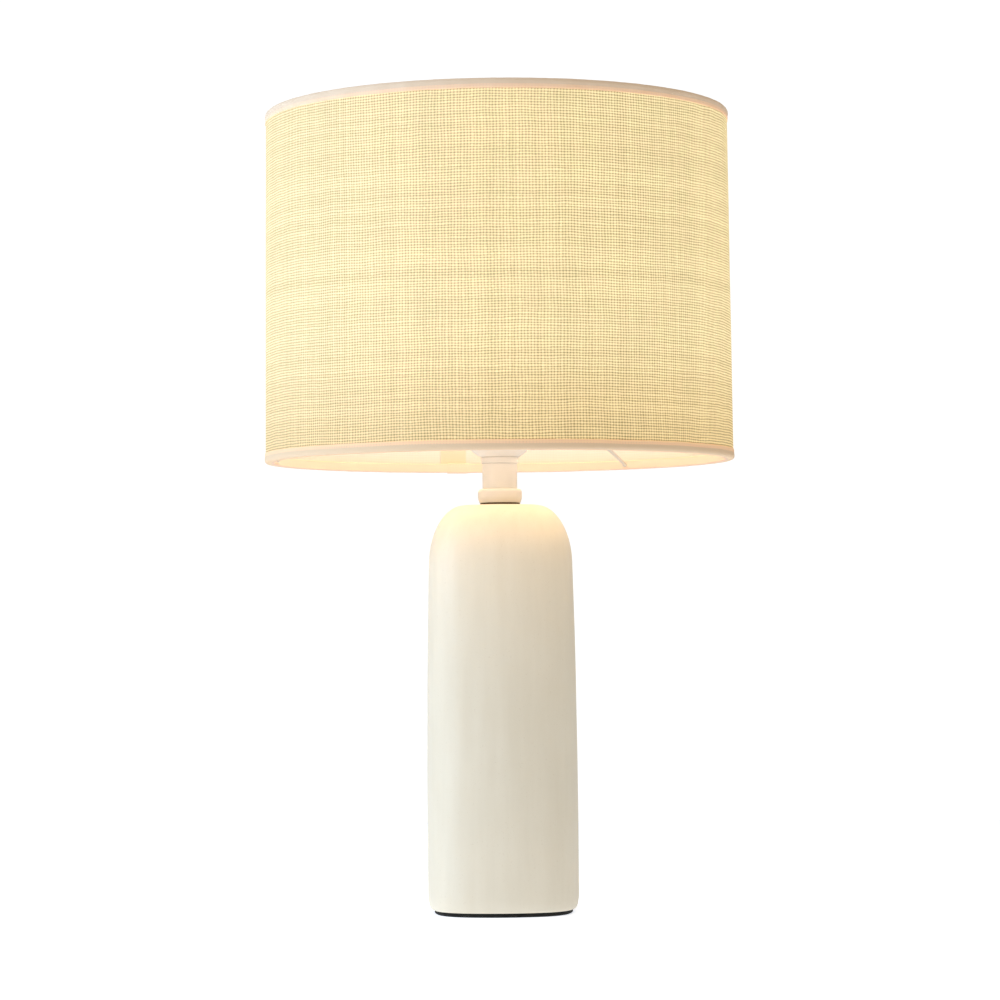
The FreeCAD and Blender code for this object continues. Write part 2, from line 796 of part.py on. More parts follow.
def arm_notches(trim, inner):
    """Notches the inner leaf of the lower tape where each arm comes through."""
    before = trim.Tip.Shape.Volume
    notch = new_sketch(trim, "notch_outline", "XY_Plane", "shade_bottom + trim_thick")
    corners = [
        (f"{inner} - overrun", "-notch_half"),
        (f"{inner} + trim_inside_corner", "-notch_half"),
        (f"{inner} + trim_inside_corner", "notch_half"),
        (f"{inner} - overrun", "notch_half"),
    ]
    draw_outline(notch, corners)
    cut = trim.newObject("PartDesign::Pocket", "arm_notch")
    cut.Profile = notch
    cut.Type = "Length"
    cut.setExpression("Length", ref("trim_height + overrun"))
    cut.Reversed = True
    doc.recompute()
    check_cut(cut, before)
    around = trim.newObject("PartDesign::PolarPattern", "arm_notches")
    around.Originals = [cut]
    around.Axis = (notch, ["N_Axis"])
    around.Angle = 360
    around.Occurrences = ARM_COUNT
    trim.Tip = around
    trim.Placement.Rotation = FreeCAD.Rotation(FreeCAD.Vector(0, 0, 1), value("arm_bearing"))


def trims():
    """The tapes round the two rims."""
    inner_leaf = "wire_radius - wire_gap - trim_thick"
    outer_leaf = "trim_gap + trim_thick"
    high_inner = f"({HIGH_WIRE_RADIUS} - {inner_leaf})"
    low_inner = f"({LOW_WIRE_RADIUS} - {inner_leaf})"
    high_outer = f"(shade_high_radius + {outer_leaf})"
    low_outer = f"(shade_low_radius + {outer_leaf})"
    turned("top_trim", trim_outline(high_outer, high_inner, "shade_top", "-"))
    lower = turned("bottom_trim", trim_outline(low_outer, low_inner, "shade_bottom", "+"))
    doc.recompute()
    arm_notches(lower, low_inner)


def drum_shade():
    """Cover, liner, frame wires and trims."""
    drum_wall("shade_cover", "0", "cover_thick")
    drum_wall("shade_liner", "(cover_thick + liner_gap)", "liner_thick")
    frame_wire("bottom_ring", LOW_WIRE_RADIUS, f"shade_bottom + {WIRE_INSET}")
    frame_wire("top_ring", HIGH_WIRE_RADIUS, f"shade_top - {WIRE_INSET}")
    trims()


# ------------------------------------------------------------------- bulb

BULB_FOOT = f"{HOLDER_FOOT} + insert_bottom + insert_floor + contact_rise + bulb_lift"
HOUSING_TOP = "bulb_length - globe_radius - globe_drop"


def bulb_base():
    """Centre tip, insulator and metal screw cap."""
    tip = [(0, 0), ("bulb_tip_radius", 0), ("bulb_tip_radius", "bulb_tip_thick"), (0, "bulb_tip_thick")]
    turned("bulb_tip", tip, BULB_FOOT)
    glass_radius = "bulb_cap_lip - glass_ease"
    turned(
        "bulb_insulator",
        [
            (0, "bulb_tip_thick"),
            ("bulb_tip_radius + glass_foot_step", "bulb_tip_thick"),
            (glass_radius, "bulb_cap_foot"),
            (glass_radius, "bulb_cap_foot + glass_edge"),
            (0, "bulb_cap_foot + glass_edge"),
        ],
        BULB_FOOT,
    )
    inside = "bulb_cap_radius - bulb_cap_wall"
    turned(
        "bulb_cap",
        [
            ("bulb_cap_lip", "bulb_cap_foot"),
            ("bulb_cap_radius", "bulb_cap_foot + bulb_cap_cone"),
            ("bulb_cap_radius", "bulb_cap_foot + bulb_cap_length"),
            (inside, "bulb_cap_foot + bulb_cap_length"),
            (inside, "bulb_cap_foot + bulb_cap_cone_inside"),
            ("bulb_cap_lip", "bulb_cap_foot + bulb_cap_lip_thick"),
        ],
        BULB_FOOT,
    )


def bulb_housing():
    """The flared housing between the cap and the globe."""
    neck_foot = "bulb_cap_foot + bulb_cap_length - bulb_neck_overlap"
    outside = [
        ("bulb_neck_radius", neck_foot),
        ("bulb_neck_radius", f"{neck_foot} + bulb_neck_length"),
        ("bulb_waist_radius", "bulb_waist_height"),
        ("bulb_rim_radius", f"{HOUSING_TOP} - bulb_rim_height"),
        ("bulb_rim_radius", HOUSING_TOP),
    ]
    inside = [(f"{radius} - bulb_wall", height) for radius, height in reversed(outside)]
    turned("bulb_housing", outside + inside, BULB_FOOT)


def bulb_globe():
    """The thin diffuser: part of a sphere, open where it meets the housing."""
    balls = []
    spheres = (("globe_outer", "globe_radius"), ("globe_inner", "(globe_radius - globe_wall)"))
    for name, radius in spheres:
        ball = doc.addObject("Part::Sphere", name)
        ball.setExpression("Radius", ref(radius))
        ball.setExpression("Angle1", ref(f"-asin(globe_drop / {radius})"))
        balls.append(ball)
    globe = doc.addObject("Part::Cut", "bulb_globe")
    globe.Base, globe.Tool = balls
    lift(globe, f"{BULB_FOOT} + bulb_length - globe_radius")
    keep(globe, "bulb_globe")


def led_board(foot):
    """The round board that closes the housing under the globe."""
    radius = "bulb_rim_radius - bulb_wall - board_ease"
    turned("led_board", [(0, 0), (radius, 0), (radius, "board_thick"), (0, "board_thick")], foot)


def led_chips(foot):
    """The light-emitting chips in a circle on the board."""
    chips = []
    for i in range(int(value("chip_count"))):
        chip = doc.addObject("Part::Box", f"led_chip_{i + 1}")
        chip.setExpression("Length", ref("chip_size"))
        chip.setExpression("Width", ref("chip_size"))
        chip.setExpression("Height", ref("chip_thick"))
        for axis, function in (("x", "cos"), ("y", "sin")):
            middle = f"chip_circle * {function}({i} * 360 deg / chip_count)"
            chip.setExpression(f"Placement.Base.{axis}", ref(f"{middle} - chip_size / 2"))
        lift(chip, foot)
        chips.append(chip)
    compound("led_chips", chips)


def driver_board(foot):
    """The upright board in the neck of the bulb."""
    driver = doc.addObject("Part::Box", "driver_board")
    driver.setExpression("Length", ref("driver_width"))
    driver.setExpression("Width", ref("board_thick"))
    driver.setExpression("Height", ref("driver_length"))
    driver.setExpression("Placement.Base.x", ref("-driver_width / 2"))
    driver.setExpression("Placement.Base.y", ref("-board_thick / 2"))
    lift(driver, foot)
    keep(driver, "driver_board")


def bulb_electronics():
    """Board with its light-emitting chips, and the driver board below it."""
    board_foot = f"{BULB_FOOT} + {HOUSING_TOP} - board_thick - board_recess"
    led_board(board_foot)
    led_chips(f"{board_foot} + board_thick")
    driver_board(f"{BULB_FOOT} + bulb_cap_foot + bulb_cap_length")


# ------------------------------------------------------------------ build


def build():
    """Makes every sub-part."""
    fill_sheet()
    ceramic_column()
    foot_pad()
    cord_bush()
    clamping_rod()
    neck()
    holder_cap()
    holder_skirt()
    holder_insert()
    holder_contacts()
    shade_carrier()
    ring_nut()
    drum_shade()
    bulb_base()
    bulb_housing()
    bulb_globe()
    bulb_electronics()
    doc.recompute()


def check_all():
    """Stops if any object failed or any sub-part isn't a sound solid."""
    for item in doc.Objects:
        if "Invalid" in item.State or "Error" in item.State:
            raise RuntimeError(f"{item.Name} failed: {item.State}")
    for node in nodes:
        shape = node.Shape
        if shape.isNull() or not shape.isValid() or not shape.Solids or shape.Volume <= 0:
            raise RuntimeError(f"{node.Label} isn't a sound solid")


def write_all():
    """Writes each sub-part to its own file."""
    os.makedirs("parts", exist_ok=True)
    for node in nodes:
        node.Shape.exportStep(f"parts/{node.Label}.step")
        print(node.Label, f"{node.Shape.Volume / 1000:.2f} cm3", f"{len(node.Shape.Solids)} solids")


build()
check_all()
write_all()
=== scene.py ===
import json
import math

import bpy
from mathutils import Matrix, Vector, noise


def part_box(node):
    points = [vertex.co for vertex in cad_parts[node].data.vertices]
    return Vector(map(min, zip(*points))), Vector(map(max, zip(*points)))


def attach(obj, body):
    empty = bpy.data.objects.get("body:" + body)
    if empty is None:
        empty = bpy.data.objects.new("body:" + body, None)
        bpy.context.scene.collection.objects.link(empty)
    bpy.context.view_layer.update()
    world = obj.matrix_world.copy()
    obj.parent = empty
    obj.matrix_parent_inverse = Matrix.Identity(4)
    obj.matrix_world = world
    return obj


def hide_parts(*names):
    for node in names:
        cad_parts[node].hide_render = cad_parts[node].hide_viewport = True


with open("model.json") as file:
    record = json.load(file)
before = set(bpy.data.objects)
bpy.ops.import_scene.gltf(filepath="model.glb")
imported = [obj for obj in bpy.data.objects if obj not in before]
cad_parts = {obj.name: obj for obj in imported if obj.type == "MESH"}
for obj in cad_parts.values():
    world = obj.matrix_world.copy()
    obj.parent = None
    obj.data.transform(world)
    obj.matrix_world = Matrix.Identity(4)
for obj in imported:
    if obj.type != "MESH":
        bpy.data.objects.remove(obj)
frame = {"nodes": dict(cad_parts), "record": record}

# A lit table lamp: woven drum shade, white neck and lampholder, cream ceramic
# column.  Everything is in metres.  +Z is up, the origin is under the foot and
# the front faces -Y.

MM = 0.001
TURN = 2 * math.pi
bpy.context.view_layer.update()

# ------------------------------------------------------------------ sizes

BODY_LOW, BODY_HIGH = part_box("ceramic_body")
PAD_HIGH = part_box("base_pad")[1]
COVER_LOW, COVER_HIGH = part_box("shade_cover")
LINER_LOW, LINER_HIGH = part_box("shade_liner")
BOTTOM_TRIM_LOW, BOTTOM_TRIM_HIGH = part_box("bottom_trim")
TOP_TRIM_LOW, TOP_TRIM_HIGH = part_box("top_trim")
BOTTOM_RING_LOW, BOTTOM_RING_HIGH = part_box("bottom_ring")
CARRIER_LOW, CARRIER_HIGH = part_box("shade_carrier")
CAP_LOW, CAP_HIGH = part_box("holder_cap")
SKIRT_LOW, SKIRT_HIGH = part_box("holder_skirt")
NUT_LOW, NUT_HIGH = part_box("shade_ring_nut")

FOOT_HALF = 42.6 * MM
FOOT_RUN = 2.3 * MM
FOOT_RISE = 9.5 * MM
SIDE_TAPER = 2 * MM
SHOULDER_RISE = 36 * MM
CROWN_HALF = 22 * MM
CROWN_BORE = 5.4 * MM
HOLLOW_RADIUS = 37.5 * MM
HOLLOW_CROWN_RADIUS = 30 * MM
ROOF_THICK = 6 * MM
FLOOR_UNDER = 11 * MM
FLOOR_TOP = 17 * MM
FLOOR_BORE = 22 * MM
FOOT_RECESS = 36 * MM
INLET_RADIUS = 4.5 * MM
ROD_CLEARANCE_BORE = 5.2 * MM
SIDE_BOW, CORNER_BOW = 1.8, 0.62
CROWN_SIDE_BOW, CROWN_CORNER_BOW = 1.35, 0.78

COVER_THICK = 0.7 * MM
LINER_THICK = 0.6 * MM
LOW_RADIUS = 139.6 * MM
HIGH_RADIUS = 138.1 * MM
SEAM_START = math.radians(99)
SEAM_WIDTH = 16.6 * MM
COLUMNS_ROUND = 472
ROW_PITCH = 1.541 * MM
ROW_SEED = 5000.5
GAP_SOLID, THREAD_SOLID = 0.15, 0.97
FOLD_RADIUS = 136 * MM
RIM_WIRE = 3.2 * MM
ARM_BEARINGS = (54, 174, 294)


# ------------------------------------------------------------- mesh tools


def new_object(name, vertices, faces, sharp=35):
    """A mesh object in the lamp's own frame, shaded smooth except at sharp edges."""
    mesh = bpy.data.meshes.new(name)
    mesh.from_pydata(vertices, [], faces)
    mesh.validate()
    mesh.shade_smooth()
    mesh.set_sharp_from_angle(angle=math.radians(sharp))
    piece = bpy.data.objects.new(name, mesh)
    bpy.context.scene.collection.objects.link(piece)
    return piece


def swept(name, profile, shape=None, segments=128, start=0.0, sweep=TURN, sharp=35):
    """A closed (radius, height) outline turned about Z; shape may change a point's radius and height."""
    full = abs(sweep - TURN) < 1e-9
    columns = segments if full else segments + 1
    vertices, faces = [], []
    count = len(profile)
    for c in range(columns):
        angle = start + sweep * c / segments
        for radius, height in profile:
            if shape:
                radius, height = shape(radius, height, angle)
            vertices.append((radius * math.cos(angle), radius * math.sin(angle), height))
    for c in range(segments):
        here, there = c * count, ((c + 1) % columns) * count
        for i in range(count):
            after = (i + 1) % count
            faces.append((here + i, there + i, there + after, here + after))
    if not full:
        faces.append(tuple(range(count)))
        faces.append(tuple(reversed(range((columns - 1) * count, columns * count))))
    return new_object(name, vertices, faces, sharp)


def capped(name, profile, segments=96, shape=None, sharp=35):
    """An open (radius, height) outline from axis to axis, turned about Z."""
    inner = profile[1:-1]
    vertices = [(0, 0, profile[0][1])]
    for radius, height in inner:
        for c in range(segments):
            angle = TURN * c / segments
            out = shape(radius, height, angle)[0] if shape else radius
            vertices.append((out * math.cos(angle), out * math.sin(angle), height))
    vertices.append((0, 0, profile[-1][1]))
    last = len(vertices) - 1
    faces = []
    for c in range(segments):
        after = (c + 1) % segments
        faces.append((0, 1 + after, 1 + c))
        for row in range(len(inner) - 1):
            a, b = 1 + row * segments, 1 + (row + 1) * segments
            faces.append((a + c, a + after, b + after, b + c))
        top = 1 + (len(inner) - 1) * segments
        faces.append((last, top + c, top + after))
    return new_object(name, vertices, faces, sharp)


def rounded(points, steps=5):
    """An outline of (radius, height, rounding) with each corner rounded by a smooth curve."""
    result = []
    count = len(points)
    for i, (x, y, size) in enumerate(points):
        if size <= 0:
            result.append((x, y))
            continue
        here = Vector((x, y))
        before = Vector(points[i - 1][:2]) - here
        after = Vector(points[(i + 1) % count][:2]) - here
        reach = min(size, before.length * 0.49, after.length * 0.49)
        first = here + before.normalized() * reach
        last = here + after.normalized() * reach
        for k in range(steps + 1):
            t = k / steps
            p = first * (1 - t) ** 2 + here * 2 * t * (1 - t) + last * t**2
            result.append((p.x, p.y))
    return result


def between(low, high, count):
    """Evenly spaced numbers from low to high, both included."""
    return [low + (high - low) * k / (count - 1) for k in range(count)]


def tube(name, path, radius, sides=20):
    """A round bar along a list of points, closed at both ends."""
    vertices, faces = [], []
    side = Vector((0, 0, 1)).cross(path[1] - path[0]).normalized()
    for i, point in enumerate(path):
        ahead = (path[min(i + 1, len(path) - 1)] - path[max(i - 1, 0)]).normalized()
        up = ahead.cross(side).normalized()
        for k in range(sides):
            angle = TURN * k / sides
            vertices.append(point + (side * math.cos(angle) + up * math.sin(angle)) * radius)
    for i in range(len(path) - 1):
        for k in range(sides):
            after = (k + 1) % sides
            a, b = i * sides, (i + 1) * sides
            faces.append((a + k, a + after, b + after, b + k))
    faces.append(tuple(reversed(range(sides))))
    faces.append(tuple(range((len(path) - 1) * sides, len(path) * sides)))
    return new_object(name, vertices, faces, 50)


def joined(name, pieces):
    """Several mesh objects made into one."""
    vertices, faces = [], []
    for piece in pieces:
        base = len(vertices)
        vertices.extend(tuple(v.co) for v in piece.data.vertices)
        faces.extend(tuple(base + i for i in f.vertices) for f in piece.data.polygons)
        bpy.data.objects.remove(piece)
    return new_object(name, vertices, faces)


# --------------------------------------------------------- material tools

# The Mix node's colour inputs and colour output.
MIX_FIRST, MIX_SECOND, MIX_RESULT = 6, 7, 2


class Finish:
    """A procedural material built around one Principled shader."""

    def __init__(self, name, roughness=0.5, metallic=0.0, specular=0.5):
        self.material = bpy.data.materials.new(name)
        self.material.use_nodes = True
        self.tree = self.material.node_tree
        self.shader = self.tree.nodes["Principled BSDF"]
        self.set("Roughness", roughness)
        self.set("Metallic", metallic)
        self.set("Specular IOR Level", specular)
        coordinates = self.tree.nodes.new("ShaderNodeTexCoord")
        self.place = coordinates.outputs["Object"]

    def set(self, socket, what):
        """Links an output to a shader socket, or sets the socket's own value."""
        self.feed(self.shader.inputs[socket], what)

    def feed(self, socket, what):
        """Links or sets any socket."""
        if isinstance(what, bpy.types.NodeSocket):
            self.tree.links.new(what, socket)
        elif isinstance(what, tuple) and len(what) == 3 and len(socket.default_value) == 4:
            socket.default_value = (*what, 1)
        else:
            socket.default_value = what

    def math(self, operation, *values):
        """One arithmetic node."""
        node = self.tree.nodes.new("ShaderNodeMath")
        node.operation = operation
        for socket, what in zip(node.inputs, values):
            self.feed(socket, what)
        return node.outputs[0]

    def add(self, a, b):
        """The sum of two values."""
        return self.math("ADD", a, b)

    def times(self, a, b):
        """The product of two values."""
        return self.math("MULTIPLY", a, b)

    def range(self, what, low, high, out_low=0.0, out_high=1.0, smooth=False):
        """Maps a span of values to another, clamped."""
        node = self.tree.nodes.new("ShaderNodeMapRange")
        node.interpolation_type = "SMOOTHSTEP" if smooth else "LINEAR"
        for name, number in (
            ("From Min", low),
            ("From Max", high),
            ("To Min", out_low),
            ("To Max", out_high),
        ):
            node.inputs[name].default_value = number
        self.feed(node.inputs["Value"], what)
        return node.outputs["Result"]

    def noise(self, scale, detail=2.0, stretch=(1, 1, 1), roughness=0.5):
        """Noise over the object's own coordinates; scale is in cells per metre."""
        stretcher = self.tree.nodes.new("ShaderNodeMapping")
        stretcher.inputs["Scale"].default_value = stretch
        self.feed(stretcher.inputs["Vector"], self.place)
        node = self.tree.nodes.new("ShaderNodeTexNoise")
        node.inputs["Scale"].default_value = scale
        node.inputs["Detail"].default_value = detail
        node.inputs["Roughness"].default_value = roughness
        self.feed(node.inputs["Vector"], stretcher.outputs[0])
        return node.outputs["Fac"]

    def random(self, number):
        """A random value for each whole number."""
        node = self.tree.nodes.new("ShaderNodeTexWhiteNoise")
        node.noise_dimensions = "1D"
        self.feed(node.inputs["W"], number)
        return node.outputs["Value"]

    def mix(self, factor, a, b):
        """A mix of two colours."""
        node = self.tree.nodes.new("ShaderNodeMix")
        node.data_type = "RGBA"
        self.feed(node.inputs["Factor"], factor)
        self.feed(node.inputs[MIX_FIRST], a)
        self.feed(node.inputs[MIX_SECOND], b)
        return node.outputs[MIX_RESULT]

    def xyz(self):
        """The object's own coordinates, apart."""
        node = self.tree.nodes.new("ShaderNodeSeparateXYZ")
        self.feed(node.inputs[0], self.place)
        return node.outputs

    def bump(self, height, depth, strength=1.0):
        """Surface relief of a given depth in metres."""
        node = self.tree.nodes.new("ShaderNodeBump")
        node.inputs["Distance"].default_value = depth
        node.inputs["Strength"].default_value = strength
        self.feed(node.inputs["Height"], height)
        self.set("Normal", node.outputs[0])


def plain_finish(name, dark, light, roughness, grain, depth, metallic=0.0, specular=0.5, stretch=(1, 1, 1)):
    """A finish with gentle variation of colour, roughness and relief."""
    finish = Finish(name, roughness, metallic, specular)
    broad = finish.noise(grain / 12, 3, stretch)
    fine = finish.noise(grain, 3, stretch)
    finish.set("Base Color", finish.mix(finish.range(broad, 0.3, 0.7), dark, light))
    finish.set("Roughness", finish.range(fine, 0.3, 0.7, roughness - 0.05, roughness + 0.06))
    finish.bump(fine, depth)
    return finish.material


# -------------------------------------------------------------- materials


def shifted(finish, count, cause, amount):
    """A thread count moved to and fro by noise, so that the threads wander."""
    return finish.add(count, finish.times(finish.add(cause, -0.5), amount))


def weave_pattern(finish):
    """Plain weave round the drum: relief of the threads, how much they cover with painted shade where they
    dip, and a tone for each thread.
    """
    x, y, z = finish.xyz()
    angle = finish.math("ARCTAN2", x, finish.times(y, -1))
    across = finish.times(angle, COLUMNS_ROUND / TURN)
    up = finish.times(z, 1 / ROW_PITCH)
    slow = finish.noise(11, 2)
    quick = finish.noise(70, 2)
    slow_up = finish.noise(14, 2, (1.3, 1.3, 0.8))
    sideways = finish.noise(420, 2, (1, 1, 0.22))
    upways = finish.noise(420, 2, (0.22, 0.22, 1))
    for cause, amount in ((slow, 2.2), (quick, 0.3), (sideways, 0.55)):
        across = shifted(finish, across, cause, amount)
    for cause, amount in ((slow_up, 1.8), (quick, 0.25), (upways, 0.5)):
        up = shifted(finish, up, cause, amount)
    column_tone = finish.random(finish.math("FLOOR", across))
    row_tone = finish.random(finish.add(finish.math("FLOOR", up), ROW_SEED))
    warp, warp_lift = thread(finish, across, column_tone, up, 0, (0.375, 0.47))
    weft, weft_lift = thread(finish, up, row_tone, across, 1, (0.365, 0.45))
    warp_height = finish.times(warp, warp_lift)
    weft_height = finish.times(weft, weft_lift)
    height = finish.math("MAXIMUM", warp_height, weft_height)
    # Painted shade: rows count for more than columns and the height adds in, so the gaps between rows and the
    # threads where they dip come out darker.
    crossed = finish.add(finish.times(warp, 0.37), finish.times(weft, 0.63))
    solid_with_dip_shade = finish.add(finish.times(crossed, 0.72), finish.times(height, 0.28))
    warp_on_top = finish.math("GREATER_THAN", warp_height, weft_height)
    tone = finish.mix(warp_on_top, row_tone, column_tone)
    return height, solid_with_dip_shade, tone


def thread(finish, along, tone, other, phase, halves):
    """One set of threads: rounded section across its own cell, and rise and fall along the other."""
    inside = finish.math("SUBTRACT", finish.math("FRACT", along), 0.5)
    half = finish.range(tone, 0, 1, *halves)
    share = finish.math("DIVIDE", inside, half)
    roundness = 3.0
    steep = finish.math("POWER", finish.math("ABSOLUTE", share), roundness)
    bulge = finish.math("MAXIMUM", finish.math("SUBTRACT", 1.0, steep), 0.0)
    index = finish.math("FLOOR", along)
    wave = finish.times(finish.add(finish.add(other, index), phase - 0.5), math.pi)
    swing = 0.28
    lift = finish.add(finish.times(finish.math("COSINE", wave), swing), 1 - swing)
    return bulge, lift


def weave_glow(finish, low_down):
    """Strength of the light through the cover: soft blotches, thicker yarns, less near the rims."""
    z = finish.xyz()[2]
    blotch = finish.range(finish.noise(26, 3), 0.3, 0.7)
    slub = finish.range(finish.noise(60, 2, (1, 1, 9)), 0.25, 0.75)
    high_up = finish.range(z, COVER_HIGH.z - 30 * MM, COVER_HIGH.z, 0.0, 1.0, smooth=True)
    near_rims = finish.add(low_down, finish.times(high_up, 0.35))
    glow = finish.range(near_rims, 0, 1, 1.0, 0.90)
    glow = finish.times(glow, finish.range(blotch, 0, 1, 0.96, 1.03))
    return finish.times(glow, finish.range(slub, 0, 1, 0.95, 1.03))


def weave_finish():
    """Straw-coloured open weave; its glow is painted light, standing in for the bulb's light through the
    cover.
    """
    finish = Finish("straw_weave", 0.85, specular=0.03)
    height, solid_with_dip_shade, tone = weave_pattern(finish)
    cover = finish.range(solid_with_dip_shade, GAP_SOLID, THREAD_SOLID)
    thread_colour = finish.mix(tone, (0.285, 0.285, 0.282), (0.335, 0.330, 0.325))
    gap_colour = (0.46, 0.38, 0.19)
    finish.set("Base Color", finish.mix(cover, gap_colour, thread_colour))
    z = finish.xyz()[2]
    # Painted light: the emission stands in for lamplight through the cover, bright on threads and dark in
    # gaps, warmer and dimmer low down, with faint glow patches of other colour.
    low_down = finish.range(z, COVER_LOW.z, COVER_LOW.z + 75 * MM, 1.0, 0.0, smooth=True)
    glow_patch = finish.range(finish.noise(120, 1), 0.35, 0.65)
    bright = finish.mix(tone, (0.97, 0.765, 0.345), (1.06, 0.845, 0.395))
    bright = finish.mix(finish.times(glow_patch, 0.6), bright, (1.06, 0.775, 0.38))
    bright = finish.mix(finish.times(low_down, 0.7), bright, (0.97, 0.66, 0.22))
    dark = finish.mix(low_down, (0.15, 0.125, 0.07), (0.05, 0.01, 0.0))
    finish.set("Emission Color", finish.mix(cover, dark, bright))
    finish.set("Emission Strength", weave_glow(finish, low_down))
    finish.bump(height, 0.35 * MM, 0.8)
    return finish.material


def lap_mask(finish):
    """One where the rolled sheet lies double, zero elsewhere."""
    x, y = finish.xyz()[:2]
    from_back = finish.math("ARCTAN2", finish.times(x, -1), y)
    first = SEAM_START - math.pi / 2
    last = first + SEAM_WIDTH / LOW_RADIUS
    edge = math.radians(0.15)
    rising = finish.range(from_back, first - edge, first + edge)
    falling = finish.range(from_back, last - edge, last + edge, 1.0, 0.0)
    return finish.times(rising, falling)


def liner_finish():
    """Translucent film inside the shade; the weave's shadow is painted faintly into its colour, the lap is
    painted darker, and a faint bluish glow is painted on.
    """
    finish = Finish("shade_film", 0.55, specular=0.35)
    shadow = weave_pattern(finish)[1]
    fibre = finish.noise(240, 3, (1, 1, 3))
    film = finish.mix(shadow, (0.59, 0.555, 0.54), (0.62, 0.584, 0.57))
    doubled = lap_mask(finish)
    # Painted shade: the lap is darker, as double film looks with light behind it.
    finish.set("Base Color", finish.mix(doubled, film, (0.60, 0.515, 0.41)))
    # Painted light: a faint bluish glow stands in for cool studio light through the shade.
    finish.set("Emission Color", (0.03, 0.035, 0.04))
    finish.set("Emission Strength", 1.0)
    finish.bump(fibre, 0.03 * MM)
    return finish.material


def tape_finish():
    """Pinkish cream cotton tape: plain weave, with a painted glow that is strongest where it lies on the
    cover and where it is folded in.
    """
    finish = Finish("cotton_tape", 0.9, specular=0.15)
    x, y, z = finish.xyz()
    angle = finish.math("ARCTAN2", x, finish.times(y, -1))
    waves_per_radian, row_pair = 1400, 0.62 * MM
    across = finish.math("SINE", finish.times(angle, waves_per_radian))
    up = finish.math("SINE", finish.times(z, TURN / row_pair))
    weave = finish.times(across, up)
    mottle = finish.range(finish.noise(90, 3), 0.3, 0.7)
    out = finish.math("SQRT", finish.add(finish.times(x, x), finish.times(y, y)))
    folded = finish.range(out, FOLD_RADIUS - 0.4 * MM, FOLD_RADIUS + 0.4 * MM, 1.0, 0.0)
    tape = finish.mix(mottle, (0.735, 0.655, 0.53), (0.79, 0.71, 0.585))
    # Painted shade: the lower tape gets a warmer, darker copy of the tape colour, for how it is lit.
    lower = finish.range(z, 0.3, 0.4, 1.0, 0.0)
    tape = finish.mix(lower, tape, (0.725, 0.615, 0.455))
    # The folded-in part is painted a darker, greyer colour and given a glow, for the lamplight falling on it.
    finish.set("Base Color", finish.mix(folded, tape, (0.54, 0.495, 0.465)))
    middle = (COVER_LOW.z + COVER_HIGH.z) / 2
    away = finish.math("ABSOLUTE", finish.add(z, -middle))
    on_cover = finish.range(away, 98.8 * MM, 102.6 * MM, 1.0, 0.0, smooth=True)
    # Painted light: the glow through the tape follows the cover's threads and never drops below 0.32.
    threads = finish.range(weave_pattern(finish)[1], GAP_SOLID, THREAD_SOLID, 0.55, 1.15)
    lit = finish.math("MAXIMUM", finish.times(on_cover, threads), 0.32)
    finish.set("Emission Color", (0.42, 0.155, 0.03))
    finish.set("Emission Strength", finish.math("MAXIMUM", lit, finish.times(folded, 0.8)))
    finish.bump(finish.add(weave, finish.times(mottle, 2)), 0.05 * MM, 0.6)
    return finish.material


def ceramic_finish():
    """Matt cream glaze with faint upright brush marks and fine pitting."""
    finish = Finish("cream_ceramic", 0.5, specular=0.45)
    cloud = finish.range(finish.noise(22, 3), 0.3, 0.7)
    brushed = finish.range(finish.noise(150, 3, (1, 1, 0.1)), 0.3, 0.7)
    speck = finish.range(finish.noise(900, 2), 0.66, 0.74)
    tone = finish.add(finish.times(cloud, 0.5), finish.times(brushed, 0.5))
    colour = finish.mix(tone, (0.713, 0.66, 0.54), (0.766, 0.718, 0.602))
    finish.set("Base Color", finish.mix(finish.times(speck, 0.35), colour, (0.60, 0.53, 0.41)))
    finish.set("Roughness", finish.range(tone, 0, 1, 0.44, 0.58))
    relief = finish.add(finish.times(brushed, 0.6), finish.times(finish.noise(500, 3), 0.5))
    finish.bump(relief, 0.06 * MM, 0.8)
    return finish.material


def globe_finish():
    """The lit opal globe."""
    finish = Finish("lit_opal", 0.35)
    finish.set("Base Color", (0.9, 0.88, 0.84))
    z = finish.xyz()[2]
    low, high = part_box("bulb_globe")
    finish.set("Emission Color", (1.0, 0.77, 0.46))
    shaded = low.z + (high.z - low.z) * 0.4
    finish.set("Emission Strength", finish.range(z, low.z, shaded, 22.6, 31.0, smooth=True))
    finish.bump(finish.noise(900, 2), 0.01 * MM)
    return finish.material


